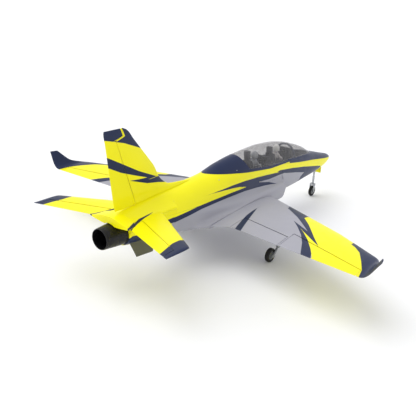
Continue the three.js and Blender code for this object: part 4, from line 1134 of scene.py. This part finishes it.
def make_main_gear(name, side):
    x, y, z = MAIN_PIVOT["x"], MAIN_PIVOT["y"], MAIN_PIVOT["z"]
    py = side * y
    unit = mesh_object(f"{name}_retract_case", [box(x - 20, x + 20, *on_side(side, y - 7, y + 26), z - 5,
                                                    z + 8)])
    carve(unit, [box(x - 6.6, x + 6.6, *on_side(side, y - 20, y + 9), z - 20, z + 20)])
    place(unit, black_matte, "airframe", [f"{name}_retract"], "equipment_black", bevel=0.8)
    screws = [bolt((x + dx, side * (y + dy), z - 5), (0, 0, -1), 1.8, 1.2)
              for dx in (-16, 16) for dy in (-2, 21)]
    place(mesh_object(f"{name}_retract_screws", screws), steel, "airframe", slot="steel")
    wx, wy, wz = MAIN_WHEEL["x"], side * MAIN_WHEEL["y"], MAIN_WHEEL["r"]
    outline = [(x + 3, 47), (x + 3, 41), (wx + 2.5, 17), (wx + 0.5, 15.5), (wx - 3, 16), (wx - 5, 20),
               (wx - 3.5, 24), (wx, 25)]
    leg = mesh_object(f"{name}_strut", [
        rod((x - 6, py, z), (x + 6, py, z), 5),
        turned((x, py, z), (0, 0, -1), [(3, 0), (3, 30), (3.6, 31), (3.6, 34), (3, 35), (3, 70)]),
        rod((x, py - 4, 44), (x, py + 4, 44), 5),
        plate(outline, *on_side(side, y - 2.6, y + 2)),
        rod((wx, py, wz), (wx, side * (y - 16.6), wz), 1.5),
        bolt((wx, side * (y + 2), wz), (0, side, 0), 2.6, 1.2),
        bolt((x, py + side * 4, 44), (0, side, 0), 2.4, 1.2),
    ])
    place(leg, aluminium, f"{name}_leg", [f"{name}_leg"], "steel", bevel=0.3)
    make_wheel(f"{name}_main", {**MAIN_WHEEL, "y": wy}, f"{name}_wheel")
    skin = [(x - 20, 68), (x - 18, 66), (x + 16, 66), (x + 20, 70), (x + 20, 104), (x - 20, 104)]
    door = mesh_object(f"{name}_door_panel", [
        plate(skin, *on_side(side, y + 6.4, y + 7.8)),
        *[box(x - 3, x + 3, *on_side(side, y + 3.3, y + 6.6), low, low + 8) for low in (72, 92)],
    ])
    place(door, grey_paint, f"{name}_leg", [f"{name}_gear_door"], "grey_foam", bevel=0.4)


# ---------------------------------------------------------------- cockpit
TUB = dict(rear=-20, front=330, floor=176, wall=2)
SEATS = {"front": (166, 244), "rear": (44, 254)}
PILOTS = {"front": (189, 231), "rear": (68, 232)}
HELMET_R = 12
# each gauge: y, height from the top of its panel, and radius of its rim
GAUGES = ((-11, -10, 4.2), (0, -9, 4.6), (11, -10, 4.2), (-7, -20, 3), (0, -20, 3), (7, -20, 3))
RIM = 0.8


def make_tub():
    """The cockpit floor and side consoles, with two hooded instrument panels."""
    outer = mesh_object("cockpit_shell", [hull_solid(9.5, 400, -60, True, 8)])
    carve(outer, [box(TUB["rear"], TUB["front"], -32, 32, TUB["floor"], 240)], "INTERSECT")
    inner = mesh_object("tub_inside", [hull_solid(11.5, 400, -60, True, 8)])
    carve(inner, [box(TUB["rear"] + 2, TUB["front"] - 2, -30, 30, TUB["floor"] + TUB["wall"], 260)],
          "INTERSECT")
    carve(outer, [inner, above_sill(4)])
    place(outer, cockpit_grey, "hatch", ["cockpit_tub"], "cockpit_grey")
    bpy.data.objects.remove(inner)
    for name, x, top, half in (("front", 238, 225.5, 21), ("rear", 112, 221.5, 19)):
        hood = [(x - 6, top), (x + 4, top + 0.4), (x + 16, top - 3), (x + 29, TUB["floor"] + 6),
                (x + 20, TUB["floor"] + 6),
                (x - 4, TUB["floor"] + 6), (x - 4, top - 2.4)]
        shapes = [plate(hood, -half, half)]
        for gy, gz, gr in GAUGES:
            shapes.append(lathe_ring((x - 4, gy, top + gz), (-1, 0, 0),
                                     [(gr - RIM, 0), (gr, 0), (gr, RIM), (gr - RIM, RIM)], 24))
        panel = mesh_object(f"{name}_panel", shapes)
        place(panel, seat_grey, "hatch", slot="cockpit_grey", bevel=0.4, crease=40)
        dials = [turned((x - 4, gy, top + gz), (-1, 0, 0), [(gr - RIM, 0), (gr - RIM, 0.3), (0, 0.3)], 24)
                 for gy, gz, gr in GAUGES]
        place(mesh_object(f"{name}_dials", dials), visor_dark, "hatch", slot="cockpit_grey")
    consoles = [plate([(TUB["rear"] + 8, 190), (226, 190), (226, 179), (TUB["rear"] + 8, 179)],
                      *sorted((s * 19, s * 26)))
                for s in (1, -1)]
    place(mesh_object("side_consoles", consoles), black_matte, "hatch", slot="cockpit_grey", bevel=1.0)


def make_seat(name, x, top):
    """An ejection seat: a tall wedge headrest, shoulder pads, side rails and a cushion."""
    head = [(x - 9, top - 22), (x - 11, top - 1.5), (x - 12.5, top), (x - 23, top), (x - 24, top - 1.5),
            (x - 21, top - 24)]
    back = [(x - 4, 184), (x + 4, 184), (x - 9, top - 20), (x - 21, top - 20)]
    arm = [(x + 4, 206), (x + 30, 200), (x + 33, 190), (x + 4, 190)]
    shapes = [
        plate(head, -8, 8), plate(back, -8, 8), plate([(x - 4, 184), (x + 4, 184), (x - 8, 222),
                                                       (x - 16, 222)], -15, 15),
        box(x - 4, x + 34, -15, 15, 178.5, 190), plate(arm, 13, 15),
        plate(arm, -15, -13),
    ]
    seat = mesh_object(f"{name}_seat_shell", shapes)
    place(seat, seat_grey, "hatch", [f"{name}_seat"], "cockpit_grey", bevel=0.8)
    pads = [box(x - 8.4, x - 7, -5.5, 5.5, top - 20, top - 4), box(x + 5, x + 33, -12, 12, 190, 191.6)]
    place(mesh_object(f"{name}_seat_pads", pads), black_matte, "hatch", slot="cockpit_grey", bevel=0.6)


def ellipsoid(centre, radii, rings=20, sides=32, low=-1.0, high=1.0, power=2.0):
    """A rounded form, cut flat at low and high shares of its height."""
    rows = []
    for s in np.sin(np.linspace(math.asin(low), math.asin(high), rings)):
        size = max((1 - abs(s) ** power) ** (1 / power), 0.02)
        angle = np.arange(sides) / sides * 2 * np.pi
        rows.append(np.stack([centre[0] + radii[0] * size * np.cos(angle),
                              centre[1] + radii[1] * size * np.sin(angle),
                              np.full(sides, centre[2] + radii[2] * s)], 1))
    return loft(rows)


def bent_tube(points, radii, sides=20):
    """A round limb through points, with a radius at each."""
    points = np.array(points, float)
    t = np.arange(len(points))
    fine = np.linspace(0, len(points) - 1, 6 * (len(points) - 1) + 1)
    path = smooth_table([(k, *p) for k, p in zip(t, points)], fine)
    size = np.interp(fine, t, radii)
    rings = []
    for k, p in enumerate(path):
        axis = path[min(k + 1, len(path) - 1)] - path[max(k - 1, 0)]
        axis = axis / np.linalg.norm(axis)
        side, other = across(axis)
        angle = np.arange(sides) / sides * 2 * np.pi
        rings.append(p + size[k] * (np.outer(np.cos(angle), side) + np.outer(np.sin(angle), other)))
    return loft(rings)


def make_pilot(name, x, z, suit, helmet):
    """A seated figure: suit with arms and straps, helmet with visor and mask."""
    body = ellipsoid((x - 2, 0, z - 29), (8.5, 13, 21), 24, 40, -0.6, 0.97, 2.6)
    shapes = [body, ellipsoid((x - 1, 0, z - 11), (6, 6, 6), 12, 24)]
    for side in (1, -1):
        shapes.append(bent_tube([(x - 2, side * 11, z - 18), (x + 2, side * 14.5, z - 28),
                                 (x + 14, side * 13, z - 35), (x + 25, side * 7, z - 33)],
                                [4.6, 4.2, 3.6, 2.8]))
        shapes.append(bent_tube([(x + 2, side * 6, z - 40), (x + 16, side * 7.5, z - 39),
                                 (x + 26, side * 8, z - 38)], [5.4, 5.2, 4.6]))
    figure = mesh_object(f"{name}_pilot_suit", shapes)
    place(figure, suit, "hatch", [f"{name}_pilot"], "figure_white", 60)
    straps = []
    for side in (1, -1):
        straps.append(bent_tube([(x - 7, side * 6, z - 11.5), (x + 2, side * 6, z - 11),
                                 (x + 6.2, side * 5, z - 19), (x + 7.2, side * 3, z - 34)],
                                [1.1, 1.1, 1.1, 1.1], 8))
    straps.append(bolt((x + 6.6, 0, z - 30), (1, 0, 0), 3.0, 1.8))
    place(mesh_object(f"{name}_pilot_straps", straps), strap_blue, "hatch", slot="figure_white")
    dome = ellipsoid((x - 0.6, 0, z + 0.6), (HELMET_R + 0.2, HELMET_R - 1.4, HELMET_R), 28, 44, -0.72, 1.0,
                     2.25)
    cups = [turned((x - 1.5, side * (HELMET_R - 3), z - 3), (0, side, 0),
                   [(4.4, 0), (4.2, 2), (3.2, 2.8), (0, 2.8)], 28) for side in (1, -1)]
    ridge = plate([(x - 9, z + 8.5), (x - 4, z + 12.2), (x + 4, z + 12.2), (x + 8, z + 9.5), (x + 4, z + 8),
                   (x - 4, z + 8)], -1.1, 1.1)
    shell = mesh_object(f"{name}_pilot_helmet", [dome, *cups, ridge])
    place(shell, helmet, "hatch", slot="figure_white", crease=40)
    visor = mesh_object(f"{name}_pilot_visor", [ellipsoid((x + 0.2, 0, z + 0.9),
                                                          (HELMET_R + 0.5, HELMET_R - 0.9, HELMET_R - 1), 28,
                                                          44, -0.5, 0.62, 2.3)])
    carve(visor, [box(x + 3.5, x + 20, -12, 12, z - 4.2, z + 8.4)], "INTERSECT")
    place(visor, visor_dark, "hatch", slot="figure_white", crease=40)
    mask = ellipsoid((x + 9.8, 0, z - 6.2), (3.4, 4.4, 4.2), 16, 24)
    hose = bent_tube([(x + 11, 0, z - 9), (x + 12.4, 2, z - 15), (x + 9, 6, z - 23), (x + 5, 9, z - 28)],
                     [1.5, 1.4, 1.4, 1.4], 14)
    place(mesh_object(f"{name}_pilot_mask", [mask, hose]), black_matte, "hatch", slot="figure_white",
          crease=50)
    face = ellipsoid((x + 2.5, 0, z - 4.4), (7.6, 7.4, 7.2), 16, 28)
    place(mesh_object(f"{name}_pilot_face", [face]), skin_tone, "hatch", slot="figure_white", crease=60)


# ---------------------------------------------------------------- equipment inside
def finish_equipment():
    """Give the pieces inside the airframe, whose shapes stay as they are, their materials."""
    wrap = plain("battery_wrap", "1F3F8F", (0.3, 0.45), 0.2, 0.1)
    g = Graph("plywood")
    grain = g.noise(0.35, 5.0, at=g.vector("MULTIPLY", g.point, (0.08, 1.0, 1.0)))
    g.bump(grain, 0.2, 0.2)
    plywood = g.surface(g.mix(grain, rgb("A88454"), rgb("D3B486")), g.span(grain, 0.3, 0.7, 0.6, 0.75))
    g = Graph("carbon", coat_weight=0.6, coat_roughness=0.1)
    weave = g.cells(0.9)
    carbon = g.surface(g.mix(weave, rgb("0E0E10"), rgb("2C2C30")), g.span(weave, 0.0, 1.0, 0.3, 0.5))
    copper = brushed("motor_can", "A9683C", 0)
    looks = {
        "battery": wrap, "battery_tray": plywood, "wing_spar": carbon, "fan_motor": copper,
        "fan_housing": black_satin, "exhaust_duct": black_satin, "speed_controller": black_matte,
        "receiver": black_matte, "rudder_servo": black_matte, "elevator_servo": black_matte,
        "steering_servo": black_matte,
    }
    for node, material in looks.items():
        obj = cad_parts[node]
        obj.data.materials.clear()
        obj.data.materials.append(material)


# x of each pair of screws, and its angle from upright round the middle of the hull
HATCH_SCREWS = ((-150, 28), (-72, 26))
HULL_MIDDLE_Z = 150


def make_hatch_screws():
    """Two screw heads a side: the front one on the hatch, the rear one behind it on the fuselage."""
    heads = []
    for x, angle in HATCH_SCREWS:
        ring = hull_rings([x, x - 1], 720)[0]
        for side in (1, -1):
            target = side * math.tan(math.radians(angle))
            slope = ring[:, 1] / (ring[:, 2] - HULL_MIDDLE_Z)
            upper = ring[:, 2] > 170
            k = np.argmin(np.where(upper, np.abs(slope - target), 99))
            out = np.array([0, ring[k, 1], ring[k, 2] - HULL_MIDDLE_Z])
            out = out / np.linalg.norm(out)
            heads.append(bolt(ring[k] - out * 0.6, out, 1.9, 1.0))
    place(mesh_object("hatch_screws", heads), steel, "hatch", slot="steel")


# ---------------------------------------------------------------- stage
CAMERA_AT = (-1.3276, -0.9053, 0.7096)
CAMERA_BACK = (-0.73782, -0.56608, 0.36767)
LEVEL_RIGHT = (0.60871, -0.79339, 0.0)
ROLL = math.radians(3.076)
LENS = 49.55
SUN_FROM = (-0.35, 0.45, 1.0)
SUN_SPREAD = math.radians(55)
SUN_STRENGTH = 1.35
SKY_STRENGTH = 0.85


def make_camera():
    back, level = Vector(CAMERA_BACK).normalized(), Vector(LEVEL_RIGHT).normalized()
    up = back.cross(level)
    right = level * math.cos(ROLL) + up * math.sin(ROLL)
    top = up * math.cos(ROLL) - level * math.sin(ROLL)
    data = bpy.data.cameras.new("camera")
    data.lens, data.sensor_width, data.clip_start = LENS, 36, 0.01
    camera = bpy.data.objects.new("camera", data)
    bpy.context.scene.collection.objects.link(camera)
    camera.matrix_world = Matrix((
        (right.x, top.x, back.x, CAMERA_AT[0]), (right.y, top.y, back.y, CAMERA_AT[1]),
        (right.z, top.z, back.z, CAMERA_AT[2]), (0, 0, 0, 1)))
    bpy.context.scene.camera = camera


def make_floor():
    """A pale floor with just enough grain to catch the shadow."""
    mesh = bpy.data.meshes.new("floor")
    size, count = 70.0, 6
    steps = np.linspace(-size, size, count)
    points = [(x, y, -0.0005) for x in steps for y in steps]
    faces = [(i * count + j, (i + 1) * count + j, (i + 1) * count + j + 1, i * count + j + 1)
             for i in range(count - 1) for j in range(count - 1)]
    mesh.from_pydata(points, [], faces)
    floor = bpy.data.objects.new("floor", mesh)
    bpy.context.scene.collection.objects.link(floor)
    g = Graph("floor_pale")
    mesh.materials.append(g.surface(g.mix(g.noise(0.01), (0.88, 0.885, 0.91, 1), (0.91, 0.915, 0.94, 1)),
                                    0.9))


def make_sun(name, source, spread, strength):
    """A wide soft light from one side, the same all over the floor."""
    data = bpy.data.lights.new(name, "SUN")
    data.angle, data.energy = spread, strength
    light = bpy.data.objects.new(name, data)
    bpy.context.scene.collection.objects.link(light)
    light.rotation_euler = Vector(source).to_track_quat("Z", "Y").to_euler()


def make_stage():
    make_camera()
    make_floor()
    make_sun("key", SUN_FROM, SUN_SPREAD, SUN_STRENGTH)
    world = bpy.data.worlds.new("studio")
    world.use_nodes = True
    background = world.node_tree.nodes["Background"]
    background.inputs["Color"].default_value = (1.0, 1.0, 1.0, 1.0)
    background.inputs["Strength"].default_value = SKY_STRENGTH
    bpy.context.scene.world = world
    bpy.context.scene.view_settings.view_transform = "Standard"


def make_jet():
    hull = mesh_object("hull", [hull_solid()])
    carve(hull, [box(-600, 600, -WING_ROOT_Y, WING_ROOT_Y, 0, 400)], "INTERSECT")
    make_fuselage(hull)
    make_hatch(hull)
    grown = mesh_object("grown", [hull_solid(-GAP)])
    make_fin(grown)
    for name, side in SIDES.items():
        make_wing(name, side)
        make_stabilizer(name, side, grown)
        make_ventral_fin(name, side, grown)
        make_main_gear(name, side)
    for obj in (hull, grown):
        bpy.data.objects.remove(obj)
    make_exhaust()
    make_fan_rotor()
    make_nose_gear()
    make_tub()
    for name, (x, top) in SEATS.items():
        make_seat(name, x, top)
    make_pilot("front", *PILOTS["front"], suit_green, helmet_white)
    make_pilot("rear", *PILOTS["rear"], suit_grey, helmet_grey)
    make_hatch_screws()
    finish_equipment()


make_stage()
make_jet()
